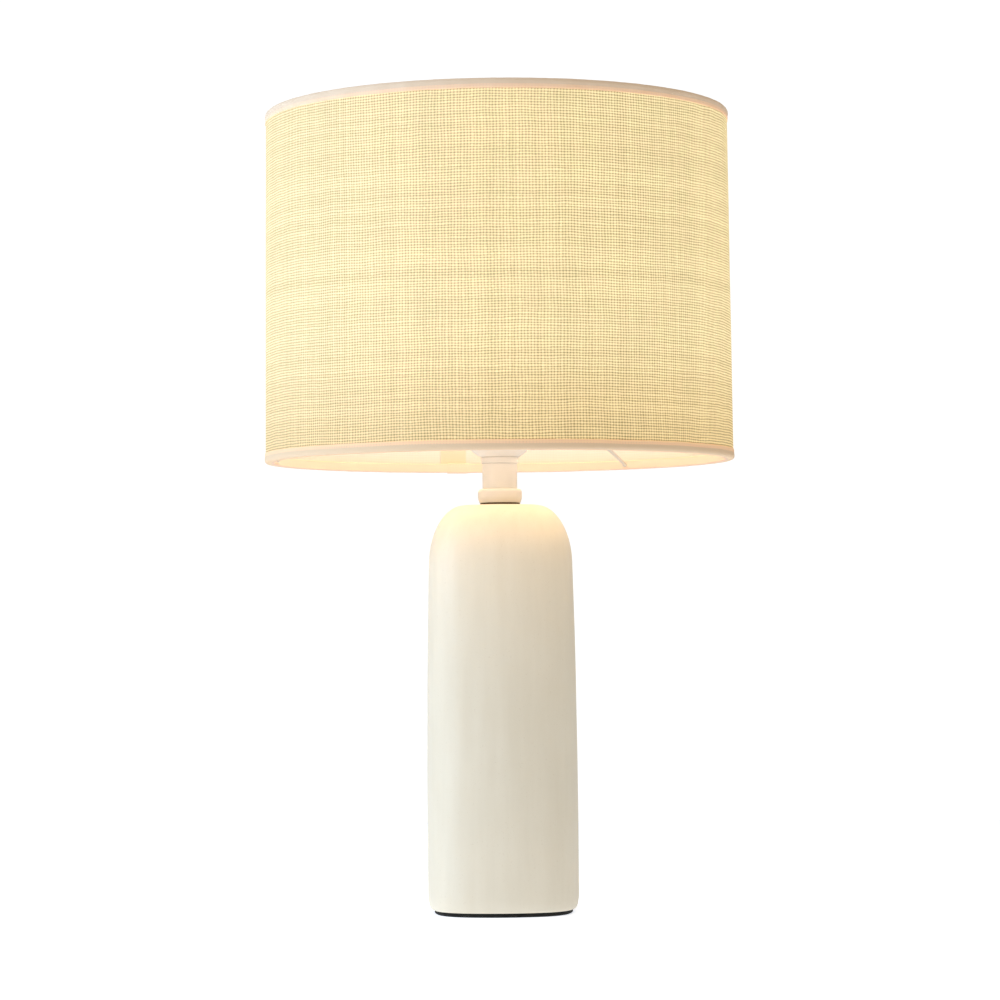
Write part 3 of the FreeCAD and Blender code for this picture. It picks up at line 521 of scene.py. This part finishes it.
def simple_finishes():
    """The finishes that differ only in colour, roughness, grain and relief."""
    plain, dull = {}, {"specular": 0.2}
    metal, drawn = {"metallic": 1.0}, {"metallic": 1.0, "stretch": (1, 1, 6)}
    # slot, darker and lighter colour, roughness, grains per metre, relief in millimetres, kind
    rows = (
        ("foot_foam", (0.010, 0.010, 0.010), (0.022, 0.022, 0.021), 0.88, 1800, 0.15, dull),
        ("bush_plastic", (0.70, 0.67, 0.60), (0.76, 0.73, 0.66), 0.45, 1200, 0.01, plain),
        ("zinc_steel", (0.50, 0.50, 0.49), (0.66, 0.66, 0.65), 0.35, 700, 0.01, drawn),
        ("gasket_rubber", (0.045, 0.028, 0.014), (0.075, 0.048, 0.025), 0.7, 1500, 0.03, plain),
        ("white_lacquer", (0.655, 0.635, 0.595), (0.69, 0.67, 0.63), 0.42, 900, 0.015, plain),
        ("holder_plastic", (0.79, 0.73, 0.65), (0.83, 0.77, 0.69), 0.38, 1300, 0.01, plain),
        ("insert_ceramic", (0.74, 0.72, 0.67), (0.80, 0.78, 0.73), 0.7, 1500, 0.04, plain),
        ("contact_brass", (0.62, 0.43, 0.16), (0.74, 0.55, 0.24), 0.3, 900, 0.01, metal),
        ("white_wire", (0.56, 0.52, 0.46), (0.63, 0.59, 0.53), 0.5, 1600, 0.02, plain),
        ("bulb_metal", (0.58, 0.58, 0.57), (0.72, 0.72, 0.70), 0.28, 1100, 0.01, metal),
        ("bulb_glass_black", (0.012, 0.012, 0.014), (0.03, 0.03, 0.034), 0.12, 1200, 0.01, plain),
        ("bulb_plastic", (0.80, 0.79, 0.76), (0.85, 0.84, 0.81), 0.4, 1300, 0.01, plain),
        ("board_aluminium", (0.76, 0.76, 0.75), (0.84, 0.84, 0.83), 0.5, 900, 0.01, plain),
        ("led_phosphor", (0.80, 0.62, 0.14), (0.88, 0.72, 0.20), 0.4, 1500, 0.01, plain),
        ("board_resin", (0.02, 0.11, 0.05), (0.03, 0.16, 0.07), 0.45, 900, 0.02, plain),
    )
    finishes = {}
    for slot, dark, light, roughness, grain, relief, kind in rows:
        finishes[slot] = plain_finish(slot, dark, light, roughness, grain, relief * MM, **kind)
    return finishes


def all_finishes():
    """One material for each slot."""
    finishes = simple_finishes()
    finishes["ceramic_glaze"] = ceramic_finish()
    finishes["shade_weave"] = weave_finish()
    finishes["shade_liner"] = liner_finish()
    finishes["trim_tape"] = tape_finish()
    finishes["bulb_diffuser"] = globe_finish()
    return finishes


FINISHES = all_finishes()
SLOT_OF = {entry["node"]: entry["material_slot"] for entry in frame["record"]["subparts"]}
BODY_OF = {node: body for body, members in frame["record"]["behaviour"]["bodies"].items() for node in members}


def place(piece, *nodes):
    """Gives a piece the finish and body of the sub-parts that it stands for, and hides those sub-parts."""
    slot = SLOT_OF[nodes[0]]
    piece.data.materials.clear()
    piece.data.materials.append(FINISHES[slot])
    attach(piece, BODY_OF[nodes[0]])
    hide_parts(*nodes)
    return piece


def finish_sub_parts():
    """Gives every sub-part its slot's finish, whether it stays in sight or not."""
    for name, node in frame["nodes"].items():
        for slot in node.material_slots:
            slot.material = FINISHES[SLOT_OF[name]]


# ----------------------------------------------------------------- column


def soft_square(angle, half, side_bow, corner_bow):
    """Radius at an angle of a square with bowed sides and rounded corners."""
    side, corner = half * side_bow, half * corner_bow
    offset = side - half
    middle = (math.sqrt(2 * (side - corner) ** 2 - offset**2) - offset) / 2
    swing = math.atan2(middle, middle + offset)
    joint = math.atan2(side * math.sin(swing), side * math.cos(swing) - offset)
    a = angle % (math.pi / 2)
    a = min(a, math.pi / 2 - a)
    if a <= joint:
        return math.sqrt(side**2 - (offset * math.sin(a)) ** 2) - offset * math.cos(a)
    b = middle * (math.cos(a) + math.sin(a))
    return b + math.sqrt(b**2 - 2 * middle**2 + corner**2)


def column_rows():
    """Rows of the column from foot to crown: height, half-width and the two bows."""
    foot, top = BODY_LOW.z, BODY_HIGH.z
    shoulder = top - SHOULDER_RISE
    full = FOOT_HALF + FOOT_RUN
    shoulder_half = full - SIDE_TAPER
    rows = []
    for angle in between(0, math.pi / 2, 12)[:-1]:
        height = foot + FOOT_RISE * (1 - math.cos(angle))
        rows.append((height, FOOT_HALF + FOOT_RUN * math.sin(angle), SIDE_BOW, CORNER_BOW))
    for share in between(0, 1, 48)[:-1]:
        height = foot + FOOT_RISE + (shoulder - foot - FOOT_RISE) * share
        rows.append((height, full - SIDE_TAPER * share**2.5, SIDE_BOW, CORNER_BOW))
    for angle in between(0, math.pi / 2, 36):
        share = math.sin(angle)
        height = shoulder + SHOULDER_RISE * share
        half = CROWN_HALF + (shoulder_half - CROWN_HALF) * math.cos(angle)
        side = SIDE_BOW + (CROWN_SIDE_BOW - SIDE_BOW) * share
        corner = CORNER_BOW + (CROWN_CORNER_BOW - CORNER_BOW) * share
        rows.append((height, half, side, corner))
    return rows


def inside_rows():
    """Round rows down the crown bore, round the cavity and out through the foot recess."""
    foot, top = BODY_LOW.z, BODY_HIGH.z
    roof = top - ROOF_THICK
    plateau = [(top, CROWN_HALF * 0.8), (top, CROWN_HALF * 0.5), (top, CROWN_BORE + 0.3 * MM)]
    bore = [(top - 0.3 * MM, CROWN_BORE), (roof, CROWN_BORE)]
    cavity = [
        (roof - 8 * MM, HOLLOW_CROWN_RADIUS),
        (top - SHOULDER_RISE, HOLLOW_RADIUS),
        (FLOOR_TOP, HOLLOW_RADIUS),
    ]
    recess = [
        (FLOOR_TOP, FLOOR_BORE),
        (FLOOR_UNDER, FLOOR_BORE),
        (FLOOR_UNDER, FOOT_RECESS),
        (foot, FOOT_RECESS),
    ]
    return plateau + bore + cavity + recess


def ceramic_column():
    """The column as one closed shell, very slightly uneven as cast ware is."""
    segments = 256
    vertices = []
    rows = column_rows()
    for height, half, side, corner in rows:
        for c in range(segments):
            angle = TURN * c / segments
            radius = soft_square(angle, half, side, corner)
            here = Vector((radius * math.cos(angle), radius * math.sin(angle), height))
            radius += 0.12 * MM * noise.noise(here * 28)
            vertices.append((radius * math.cos(angle), radius * math.sin(angle), height))
    for height, radius in inside_rows():
        for c in range(segments):
            angle = TURN * c / segments
            vertices.append((radius * math.cos(angle), radius * math.sin(angle), height))
    total = len(vertices) // segments
    faces = []
    for row in range(total):
        a, b = row * segments, ((row + 1) % total) * segments
        for c in range(segments):
            after = (c + 1) % segments
            faces.append((a + c, a + after, b + after, b + c))
    column = new_object("cream_column", vertices, faces, 40)
    return place(pierced(column), "ceramic_body")


def pierced(column):
    """Cuts the cord inlet through the column's back wall."""
    low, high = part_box("cord_bush")
    middle = (low.z + high.z) / 2
    reach = 12 * MM
    outline = [(0, -reach), (INLET_RADIUS, -reach), (INLET_RADIUS, reach), (0, reach)]
    drill = capped("drill", outline, 48)
    onto_wall = Matrix.Translation((0, high.y - reach / 2, middle))
    drill.data.transform(onto_wall @ Matrix.Rotation(-math.pi / 2, 4, "X"))
    cut = column.modifiers.new("inlet", "BOOLEAN")
    cut.object = drill
    cut.operation = "DIFFERENCE"
    cut.solver = "EXACT"
    apply_modifiers(column)
    bpy.data.objects.remove(drill)
    column.data.set_sharp_from_angle(angle=math.radians(40))
    return column


def apply_modifiers(piece):
    """Replaces a piece's mesh by its evaluated mesh."""
    bpy.context.view_layer.update()
    graph = bpy.context.evaluated_depsgraph_get()
    mesh = bpy.data.meshes.new_from_object(piece.evaluated_get(graph))
    piece.modifiers.clear()
    piece.data = mesh


def foot_pad():
    """The thin foam pad, its edges a little rounded."""
    half = PAD_HIGH.x
    top, soft = PAD_HIGH.z, 0.7 * MM
    quarter = between(0, math.pi / 2, 6)
    flat = half - soft
    outline = [(0, 0), (half * 0.5, 0)]
    outline += [(flat + soft * math.sin(a), soft - soft * math.cos(a)) for a in quarter]
    outline += [(flat + soft * math.cos(a), top - soft + soft * math.sin(a)) for a in quarter]
    outline += [(half * 0.5, top), (0, top)]

    def square(radius, height, angle):
        return soft_square(angle, radius, SIDE_BOW, CORNER_BOW), height

    pad = place(capped("foam_foot_pad", outline, 192, square), "base_pad")


def cord_bush():
    """The bush in the cord inlet: domed flange outside, lip inside."""
    low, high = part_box("cord_bush")
    length = high.y - low.y
    outer = (high.x - low.x) / 2
    bore, shank, lip = 3.2 * MM, 4.4 * MM, 5.2 * MM
    flange = 1.6 * MM
    outline = rounded(
        [
            (bore, 0, 0.3 * MM),
            (lip, 0, 0.5 * MM),
            (lip, flange, 0.3 * MM),
            (shank, flange, 0.2 * MM),
            (shank, length - flange, 0.2 * MM),
            (outer, length - flange, 0.2 * MM),
            (outer, length - flange * 0.55, 0.6 * MM),
            (bore + 1.2 * MM, length, 0.8 * MM),
            (bore, length - 0.2 * MM, 0.5 * MM),
        ]
    )
    bush = swept("inlet_bush", outline, segments=72)
    middle = (low.z + high.z) / 2
    bush.data.transform(Matrix.Translation((0, low.y, middle)) @ Matrix.Rotation(-math.pi / 2, 4, "X"))
    place(bush, "cord_bush")


# ------------------------------------------------------ neck and lampholder


def ring_outline(node, bore, corners):
    """A node's rectangle section; roundings for foot inside, foot outside, top outside, top inside."""
    low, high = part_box(node)
    return rounded(
        [
            (bore, low.z, corners[0]),
            (high.x, low.z, corners[1]),
            (high.x, high.z, corners[2]),
            (bore, high.z, corners[3]),
        ],
        6,
    )


def neck():
    """Gasket, collar, sleeve and ring."""
    bore = ROD_CLEARANCE_BORE
    small = 0.25 * MM
    gasket = ring_outline("neck_gasket", bore, (small, 0.5 * MM, 0.3 * MM, small))
    place(swept("rubber_gasket", gasket), "neck_gasket")
    low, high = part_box("neck_collar")
    collar = rounded(
        [
            (bore, low.z, small),
            (high.x - 1.0 * MM, low.z, 0.5 * MM),
            (high.x, low.z + 2.6 * MM, 2.0 * MM),
            (high.x - 0.1 * MM, high.z, 2.4 * MM),
            (bore, high.z, small),
        ],
        8,
    )
    place(swept("turned_collar", collar, segments=160), "neck_collar")
    tube_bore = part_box("neck_sleeve")[1].x - 1.0 * MM
    sleeve = ring_outline("neck_sleeve", tube_bore, (small, 0.3 * MM, 0.3 * MM, small))
    place(swept("neck_tube", sleeve, segments=144), "neck_sleeve")
    ring = ring_outline("neck_ring", bore, (small, 0.6 * MM, 0.6 * MM, small))
    place(swept("neck_ring_turned", ring), "neck_ring")


def ribs(count, depth, low, high, outer):
    """A shape function that presses upright grip grooves into a turned wall."""

    def shape(radius, height, angle):
        fade = min(1.0, max(0.0, (height - low) / MM)) * min(1.0, max(0.0, (high - height) / MM))
        if radius > outer - 0.3 * MM:
            radius -= depth * fade * max(0.0, math.cos(count * angle)) ** 4
        return radius, height

    return shape


def holder_cap():
    """The bowl of the lampholder, with grip grooves round its straight wall."""
    z = CAP_LOW.z
    outer = CAP_HIGH.x
    inner = outer - 1.8 * MM
    floor_top = z + 2.2 * MM
    cone_foot, cone_top, cone_rise = 11.3 * MM, 16.7 * MM, 3.4 * MM
    bowl_rise = 9.5 * MM
    wall = [(outer, height, 0) for height in between(z + 11.5 * MM, CAP_HIGH.z - 1.2 * MM, 14)]
    outline = rounded(
        [
            (ROD_CLEARANCE_BORE, z, 0.2 * MM),
            (cone_foot, z, 0.5 * MM),
            (cone_top, z + cone_rise, 3.5 * MM),
            (outer, z + bowl_rise, 3.5 * MM),
            *wall,
            (outer, CAP_HIGH.z, 0.5 * MM),
            (inner, CAP_HIGH.z, 0.2 * MM),
            (inner, z + 12 * MM, 1.5 * MM),
            (cone_top - 2 * MM, z + 5 * MM, 1.5 * MM),
            (cone_foot - 0.8 * MM, floor_top, 0.4 * MM),
            (ROD_CLEARANCE_BORE, floor_top, 0.2 * MM),
        ],
        6,
    )
    shape = ribs(36, 0.5 * MM, z + 12.5 * MM, CAP_HIGH.z - 2 * MM, outer)
    place(swept("lampholder_cap", outline, shape, segments=288), "holder_cap")


def holder_skirt():
    """The outer shell of the lampholder, with its flange and a real helical thread."""
    low, high = SKIRT_LOW.z, SKIRT_HIGH.z
    flange, flange_top = low + 7 * MM, low + 9 * MM
    shank, crest, bore = 20.2 * MM, 19.7 * MM, 16 * MM
    pitch, depth = 2.5 * MM, 0.75 * MM
    first, last = flange + 3.5 * MM, high - 1.2 * MM
    count = int((last - first) / pitch * 10)
    thread_rows = [(crest, height, 0) for height in between(first, last, count)]
    outline = rounded(
        [
            (bore, low, 0.3 * MM),
            (shank, low, 0.4 * MM),
            (shank, flange, 0.8 * MM),
            (SKIRT_HIGH.x, flange, 0.5 * MM),
            (SKIRT_HIGH.x, flange_top, 0.5 * MM),
            (crest - depth, flange_top, 0.4 * MM),
            *thread_rows,
            (crest - depth, high, 0.4 * MM),
            (bore, high, 0.5 * MM),
        ]
    )

    def helix(radius, height, angle):
        if first - 1e-6 <= height <= last + 1e-6 and radius > bore + 2 * MM:
            ease = min(1.0, (height - first) / pitch, (last - height) / pitch)
            wave = 0.5 + 0.5 * math.cos(TURN * (height / pitch) - angle)
            radius = crest - depth * (1 - max(0.0, ease) * wave)
        return radius, height

    place(swept("lampholder_skirt", outline, helix, segments=96, sharp=60), "holder_skirt")


def ring_nut():
    """The flanged ring nut with finger lobes round its hub."""
    low, high = NUT_LOW.z, NUT_HIGH.z
    outer, hub, bore = NUT_HIGH.x, 23 * MM, 19.8 * MM
    step = low + 2.2 * MM
    wall = [(hub, height, 0) for height in between(step + 0.9 * MM, high - 0.9 * MM, 6)]
    outline = rounded(
        [
            (bore, low, 0.3 * MM),
            (outer, low, 0.4 * MM),
            (outer, step, 0.8 * MM),
            (hub, step, 0.5 * MM),
            *wall,
            (hub, high, 0.6 * MM),
            (bore, high, 0.4 * MM),
        ]
    )

    count, depth = 24, 0.7 * MM

    def lobes(radius, height, angle):
        if height > step + 0.4 * MM and radius > hub - depth:
            radius -= depth * (0.5 - 0.5 * math.cos(count * angle)) ** 2
        return radius, height

    place(swept("shade_clamp_nut", outline, lobes, segments=240), "shade_ring_nut")


# ----------------------------------------------------------- shade carrier


def carrier_ring():
    """The pressed ring that the arms are welded to."""
    outline = ring_outline("shade_carrier", 21 * MM, (0.4 * MM, 0.6 * MM, 0.6 * MM, 0.4 * MM))
    place(swept("carrier_ring", outline), "shade_carrier")


def carrier_arms():
    """Three bent wires, each with a weld bead at both ends."""
    level = (CARRIER_LOW.z + CARRIER_HIGH.z) / 2
    inner, bend, bend_radius = 26.8 * MM, 62 * MM, 25 * MM
    wire_radius = 1.1 * MM
    ring_radius = BOTTOM_RING_HIGH.x - RIM_WIRE / 2
    ring_level = (BOTTOM_RING_LOW.z + BOTTOM_RING_HIGH.z) / 2
    end = Vector((ring_radius - 1.2 * MM, 0, ring_level + 0.6 * MM))
    slope = math.atan2(level - end.z, end.x - bend)
    back = bend_radius * math.tan(slope / 2)
    path = [Vector((x, 0, level)) for x in between(inner, bend - back, 6)]
    for a in between(0, slope, 12)[1:]:
        out = bend - back + bend_radius * math.sin(a)
        path.append(Vector((out, 0, level - bend_radius * (1 - math.cos(a)))))
    start = path[-1].copy()
    path += [start.lerp(end, share) for share in between(0, 1, 10)[1:]]
    for number, bearing in enumerate(ARM_BEARINGS, start=1):
        bar = tube(f"bar_{number}", path, wire_radius)
        at_carrier = Vector((inner + 0.6 * MM, 0, level))
        at_ring = end - Vector((0.8 * MM, 0, 0))
        inner_bead = weld_bead(f"bead_a_{number}", at_carrier, 1.7 * MM, number)
        outer_bead = weld_bead(f"bead_b_{number}", at_ring, 1.6 * MM, number + 7)
        arm = joined(f"carrier_wire_{number}", [bar, inner_bead, outer_bead])
        arm.data.transform(Matrix.Rotation(math.radians(bearing), 4, "Z"))
        place(arm, f"carrier_arm_{number}")


def weld_bead(name, centre, size, seed):
    """A small uneven lump of weld metal."""
    rows, columns, flatness = 10, 16, 0.75
    pole = Vector((0, 0, size * flatness))
    vertices = [centre - pole]
    for r in range(1, rows):
        polar = math.pi * r / rows
        for c in range(columns):
            angle = TURN * c / columns
            girth = math.sin(polar)
            out = Vector((girth * math.cos(angle), girth * math.sin(angle), -math.cos(polar) * flatness))
            lump = 1 + 0.18 * noise.noise(out * 2 + Vector((seed * 3.1, 0, 0)))
            vertices.append(centre + out * size * lump)
    vertices.append(centre + pole)
    last = len(vertices) - 1
    faces = []
    for c in range(columns):
        after = (c + 1) % columns
        faces.append((0, 1 + after, 1 + c))
        for r in range(rows - 2):
            a, b = 1 + r * columns, 1 + (r + 1) * columns
            faces.append((a + c, a + after, b + after, b + c))
        top = 1 + (rows - 2) * columns
        faces.append((last, top + c, top + after))
    return new_object(name, vertices, faces, 60)


# ------------------------------------------------------------------- shade


def wall_radius(height, inset):
    """Radius of the conical shade wall at a height, inset from its outer face."""
    share = (height - BOTTOM_TRIM_LOW.z) / (TOP_TRIM_HIGH.z - BOTTOM_TRIM_LOW.z)
    return LOW_RADIUS + (HIGH_RADIUS - LOW_RADIUS) * share - inset


def clear_of_tapes(height):
    """Zero under either tape, which presses a lap flat, and one 6 mm or more away from both."""
    away = min(height - BOTTOM_TRIM_HIGH.z, TOP_TRIM_LOW.z - height)
    return min(1.0, max(0.0, away / (6 * MM)))


def overlapped_wall(name, low, high, inset, thick, step, rows, pressed=None):
    """A sheet rolled into a drum, its last stretch lapped over its first by a small step."""
    ease = math.radians(2.5)
    unevenness = 0.16 * MM
    sweep = TURN + SEAM_WIDTH / LOW_RADIUS
    heights = between(low, high, rows)
    outline = [(0.0, height) for height in heights] + [(1.0, height) for height in reversed(heights)]
    segments = 480

    def wall(side, height, angle):
        turned = angle - SEAM_START
        lift = step * min(1.0, max(0.0, (turned - (TURN - ease)) / ease))
        if pressed:
            lift *= pressed(height)
        here = Vector((math.cos(angle), math.sin(angle), height * 9))
        free = math.sin(math.pi * (height - low) / (high - low))
        wave = unevenness * noise.noise(here * 2.2) * free
        radius = wall_radius(height, inset) + lift + wave - (0 if side else thick)
        return radius, height

    return swept(name, outline, wall, segments, SEAM_START, sweep)


def shade_cover():
    """The woven cover, rolled and lapped at the back."""
    cover = overlapped_wall(
        "woven_cover",
        COVER_LOW.z,
        COVER_HIGH.z,
        inset=0.0,
        thick=COVER_THICK,
        step=0.75 * MM,
        rows=40,
        pressed=clear_of_tapes,
    )
    return place(cover, "shade_cover")


def shade_liner():
    """The film inside the cover, lapped inwards at the same place."""
    liner = overlapped_wall(
        "inner_film",
        LINER_LOW.z,
        LINER_HIGH.z,
        inset=COVER_THICK + 0.05 * MM,
        thick=LINER_THICK,
        step=-0.65 * MM,
        rows=24,
    )
    return place(liner, "shade_liner")


def trim(name, node, ring_node, up, seed):
    """Tape folded round a rim and its wire, with soft unevenness and a lapped end."""
    low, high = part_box(node)
    ring_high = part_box(ring_node)[1]
    edge = low.z if up > 0 else high.z
    rise = high.z - low.z
    outer = high.x
    inner = ring_high.x - RIM_WIRE - 0.5 * MM
    thick, roll = 0.45 * MM, 1.6 * MM
    flare, lean = 0.25 * MM, 3.1 * MM
    outside = [
        (outer - 0.05 * MM, rise, 0.15 * MM),
        (outer, rise * 0.55, 1.5 * MM),
        (outer + flare, roll, 1.5 * MM),
        (outer - 0.5 * MM, 0, 1.2 * MM),
        (inner, 0, 0.6 * MM),
        (inner, rise * 0.96, 0.7 * MM),
        (inner + lean, rise, 0.15 * MM),
    ]
    inside = [
        (inner + lean + thick * 0.9, rise, 0.1 * MM),
        (inner + thick, rise * 0.88, 0.5 * MM),
        (inner + thick, thick, 0.5 * MM),
        (outer - 0.7 * MM, thick, 1.0 * MM),
        (outer + flare - thick, roll, 1.0 * MM),
        (outer - thick, rise * 0.55, 1.0 * MM),
        (outer - thick, rise, 0.1 * MM),
    ]
    outline = [(r, edge + up * h) for r, h in rounded(outside + inside, 5)]
    if up < 0:
        outline.reverse()
    lap = 12 * MM / outer
    ease = math.radians(1.5)
    centre_r, centre_z = (outer + inner) / 2, edge + up * rise * 0.5

    def tape(radius, height, angle):
        turned = angle - SEAM_START
        lift = thick * min(1.0, max(0.0, (turned - (TURN - ease)) / ease))
        away = Vector((radius - centre_r, height - centre_z))
        spot = Vector((math.cos(angle) * 5, math.sin(angle) * 5, seed))
        soft = 0.10 * MM * noise.noise(spot * 6 + Vector((0, 0, height * 300)))
        pucker = 0.05 * MM * noise.noise(Vector((angle * 90, seed, 0)))
        away = away.normalized() * (away.length + lift + soft + pucker)
        return centre_r + away.x, centre_z + away.y

    return place(swept(name, outline, tape, 720, SEAM_START, TURN + lap, 60), node)


def shade():
    """Cover, liner and the two taped rims."""
    cover = shade_cover()
    shade_liner()
    upper = trim("top_tape", "top_trim", "top_ring", -1, 1.0)
    lower = trim("bottom_tape", "bottom_trim", "bottom_ring", 1, 4.0)


# -------------------------------------------------------------------- bulb


def bulb_globe():
    """The opal globe, with an open neck that seats in the housing."""
    low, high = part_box("bulb_globe")
    radius = high.x
    centre = high.z - radius
    drop = math.asin((centre - low.z) / radius)
    wall = 1.0 * MM
    angles = between(-drop, math.pi / 2, 40)
    outer = [(radius * math.cos(a), centre + radius * math.sin(a)) for a in angles[:-1]]
    thin = radius - wall
    inner_drop = math.asin((centre - low.z) / thin)
    inner_angles = between(-inner_drop, math.pi / 2, 40)
    inner = [(thin * math.cos(a), centre + thin * math.sin(a)) for a in inner_angles[:-1]]
    profile = [(0, centre + thin)] + list(reversed(inner)) + outer + [(0, centre + radius)]
    place(capped("opal_globe", profile), "bulb_globe")


def bulb_housing():
    """The white housing: slim neck, flared heat-sink body and a lip that holds the globe."""
    low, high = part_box("bulb_housing")
    neck, waist, rim, wall = 12.6 * MM, 15.5 * MM, high.x, 1.4 * MM
    neck_top = low.z + 6 * MM
    waist_height = low.z + 20.8 * MM
    lip_foot = high.z - 3 * MM
    outline = rounded(
        [
            (neck, low.z, 0.2 * MM),
            (neck, neck_top, 1.5 * MM),
            (waist, waist_height, 9 * MM),
            (rim, lip_foot, 6 * MM),
            (rim, high.z, 0.4 * MM),
            (rim - wall, high.z, 0.2 * MM),
            (rim - wall, lip_foot, 5 * MM),
            (waist - wall, waist_height, 8 * MM),
            (neck - wall, neck_top, 1.5 * MM),
            (neck - wall, low.z, 0.2 * MM),
        ],
        10,
    )
    shape = ribs(40, 0.35 * MM, waist_height - 2 * MM, high.z - 4 * MM, rim)
    place(swept("bulb_housing_shell", outline, shape, segments=160), "bulb_housing")


def bulb_cap():
    """The metal screw cap with its rolled thread."""
    low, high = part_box("bulb_cap")
    crest, wall, lip = high.x, 0.4 * MM, 10.6 * MM
    sleeve = crest - 0.3 * MM
    pitch, depth = 3.62 * MM, 1.1 * MM
    first, last = low.z + 2.6 * MM, high.z - 4.6 * MM
    rows = between(first, last, int((last - first) / pitch * 14))
    outside = [(crest, height, 0) for height in rows]
    inside = [(crest - wall, height, 0) for height in reversed(rows)]
    outline = rounded(
        [
            (lip, low.z, 0.1 * MM),
            (crest - depth, low.z + 1.4 * MM, 0.8 * MM),
            *outside,
            (sleeve, high.z - 3.4 * MM, 0.4 * MM),
            (sleeve, high.z, 0.1 * MM),
            (sleeve - wall, high.z, 0.1 * MM),
            *inside,
            (crest - depth - wall, low.z + 1.7 * MM, 0.6 * MM),
            (lip, low.z + 0.4 * MM, 0.1 * MM),
        ]
    )

    def rolled(radius, height, angle):
        if first - 1e-6 <= height <= last + 1e-6:
            ease = max(0.0, min(1.0, (height - first) / pitch, (last - height) / pitch))
            wave = 0.5 + 0.5 * math.cos(TURN * height / pitch - angle)
            radius -= depth * (1 - ease * wave)
        return radius, height

    place(swept("bulb_screw_cap", outline, rolled, segments=96, sharp=60), "bulb_cap")


def bulb_foot():
    """Black glass insulator and the soldered centre tip."""
    low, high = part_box("bulb_insulator")
    glass = rounded(
        [
            (5.1 * MM, low.z, 0.4 * MM),
            (high.x, high.z - 1.2 * MM, 0.8 * MM),
            (high.x, high.z, 0.2 * MM),
            (2 * MM, high.z, 0),
        ]
    )
    glass = [(0, low.z)] + glass + [(0, high.z)]
    place(capped("black_glass_foot", glass, 72), "bulb_insulator")
    low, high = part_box("bulb_tip")
    rim = high.z - 0.3 * MM
    dome = [(0, low.z)]
    for a in between(0.2, math.pi / 2, 8):
        dome.append((high.x * math.sin(a), rim - (rim - low.z) * math.cos(a)))
    dome += [(high.x, high.z), (0, high.z)]
    place(capped("solder_tip", dome, 48), "bulb_tip")


# ------------------------------------------------------- camera and lights


def camera():
    """A long lens a little above the table, tipped up and rolled very slightly."""
    lens = bpy.data.cameras.new("camera")
    lens.sensor_width = 36
    lens.lens = 119.75
    lens.clip_end = 50
    view = bpy.data.objects.new("camera", lens)
    bpy.context.scene.collection.objects.link(view)
    tip_up, roll = 0.0382, -0.0096
    distance, eye_height = 1.9875, 0.1693
    turn = Matrix.Rotation(math.pi / 2 + tip_up, 4, "X") @ Matrix.Rotation(roll, 4, "Z")
    view.matrix_world = Matrix.Translation((0, -distance, eye_height)) @ turn
    bpy.context.scene.camera = view


def soft_light(name, place_at, aim, size, power, colour):
    """A round soft light aimed at a point."""
    lamp = bpy.data.lights.new(name, "AREA")
    lamp.shape = "DISK"
    lamp.size = size
    lamp.energy = power
    lamp.color = colour
    light = bpy.data.objects.new(name, lamp)
    bpy.context.scene.collection.objects.link(light)
    light.location = place_at
    light.rotation_euler = (Vector(aim) - Vector(place_at)).to_track_quat("-Z", "Y").to_euler()


def studio():
    """A white backdrop, a large soft light from the left, a weak one in front, and the lamp's own."""
    scene = bpy.context.scene
    scene.view_settings.view_transform = "Standard"
    world = bpy.data.worlds.new("studio")
    world.use_nodes = True
    tree = world.node_tree
    background = tree.nodes["Background"]
    paths = tree.nodes.new("ShaderNodeLightPath")
    tone = tree.nodes.new("ShaderNodeMix")
    tone.data_type = "RGBA"
    ambient, backdrop = (0.458, 0.436, 0.385, 1), (1.05, 1.05, 1.05, 1)
    tone.inputs[MIX_FIRST].default_value = ambient
    tone.inputs[MIX_SECOND].default_value = backdrop
    tree.links.new(paths.outputs["Is Camera Ray"], tone.inputs["Factor"])
    tree.links.new(tone.outputs[MIX_RESULT], background.inputs["Color"])
    scene.world = world
    middle, foot = (0, 0, 0.25), (0, 0, 0)
    soft_light("key", (-1.9, -0.5, 0.9), middle, size=1.3, power=26.8, colour=(0.69, 0.86, 1.08))
    soft_light("front_fill", (-0.5, -2.4, 1.3), (0, 0, 0.3), size=1.0, power=2.6, colour=(1, 1, 1))
    soft_light("lamplight", (0, 0, 0.302), foot, size=0.262, power=0.26, colour=(1.0, 0.70, 0.42))


def floor():
    """A plain pale floor."""
    finish = Finish("pale_floor", 0.9, specular=0.1)
    mottle = finish.range(finish.noise(3, 2), 0.3, 0.7)
    finish.set("Base Color", finish.mix(mottle, (0.72, 0.72, 0.72), (0.74, 0.74, 0.74)))
    finish.set("Emission Color", (0.96, 1.0, 1.08))
    finish.set("Emission Strength", 0.64)
    half = 0.9
    drop = -0.1 * MM
    corners = [(-half, -half, drop), (half, -half, drop), (half, half, drop), (-half, half, drop)]
    plane = new_object("floor", corners, [(0, 1, 2, 3)])
    plane.data.materials.append(finish.material)


# ------------------------------------------------------------------- build


camera()
studio()
floor()
finish_sub_parts()
ceramic_column()
foot_pad()
cord_bush()
neck()
holder_cap()
holder_skirt()
ring_nut()
carrier_ring()
carrier_arms()
shade()
bulb_globe()
bulb_housing()
bulb_cap()
bulb_foot()
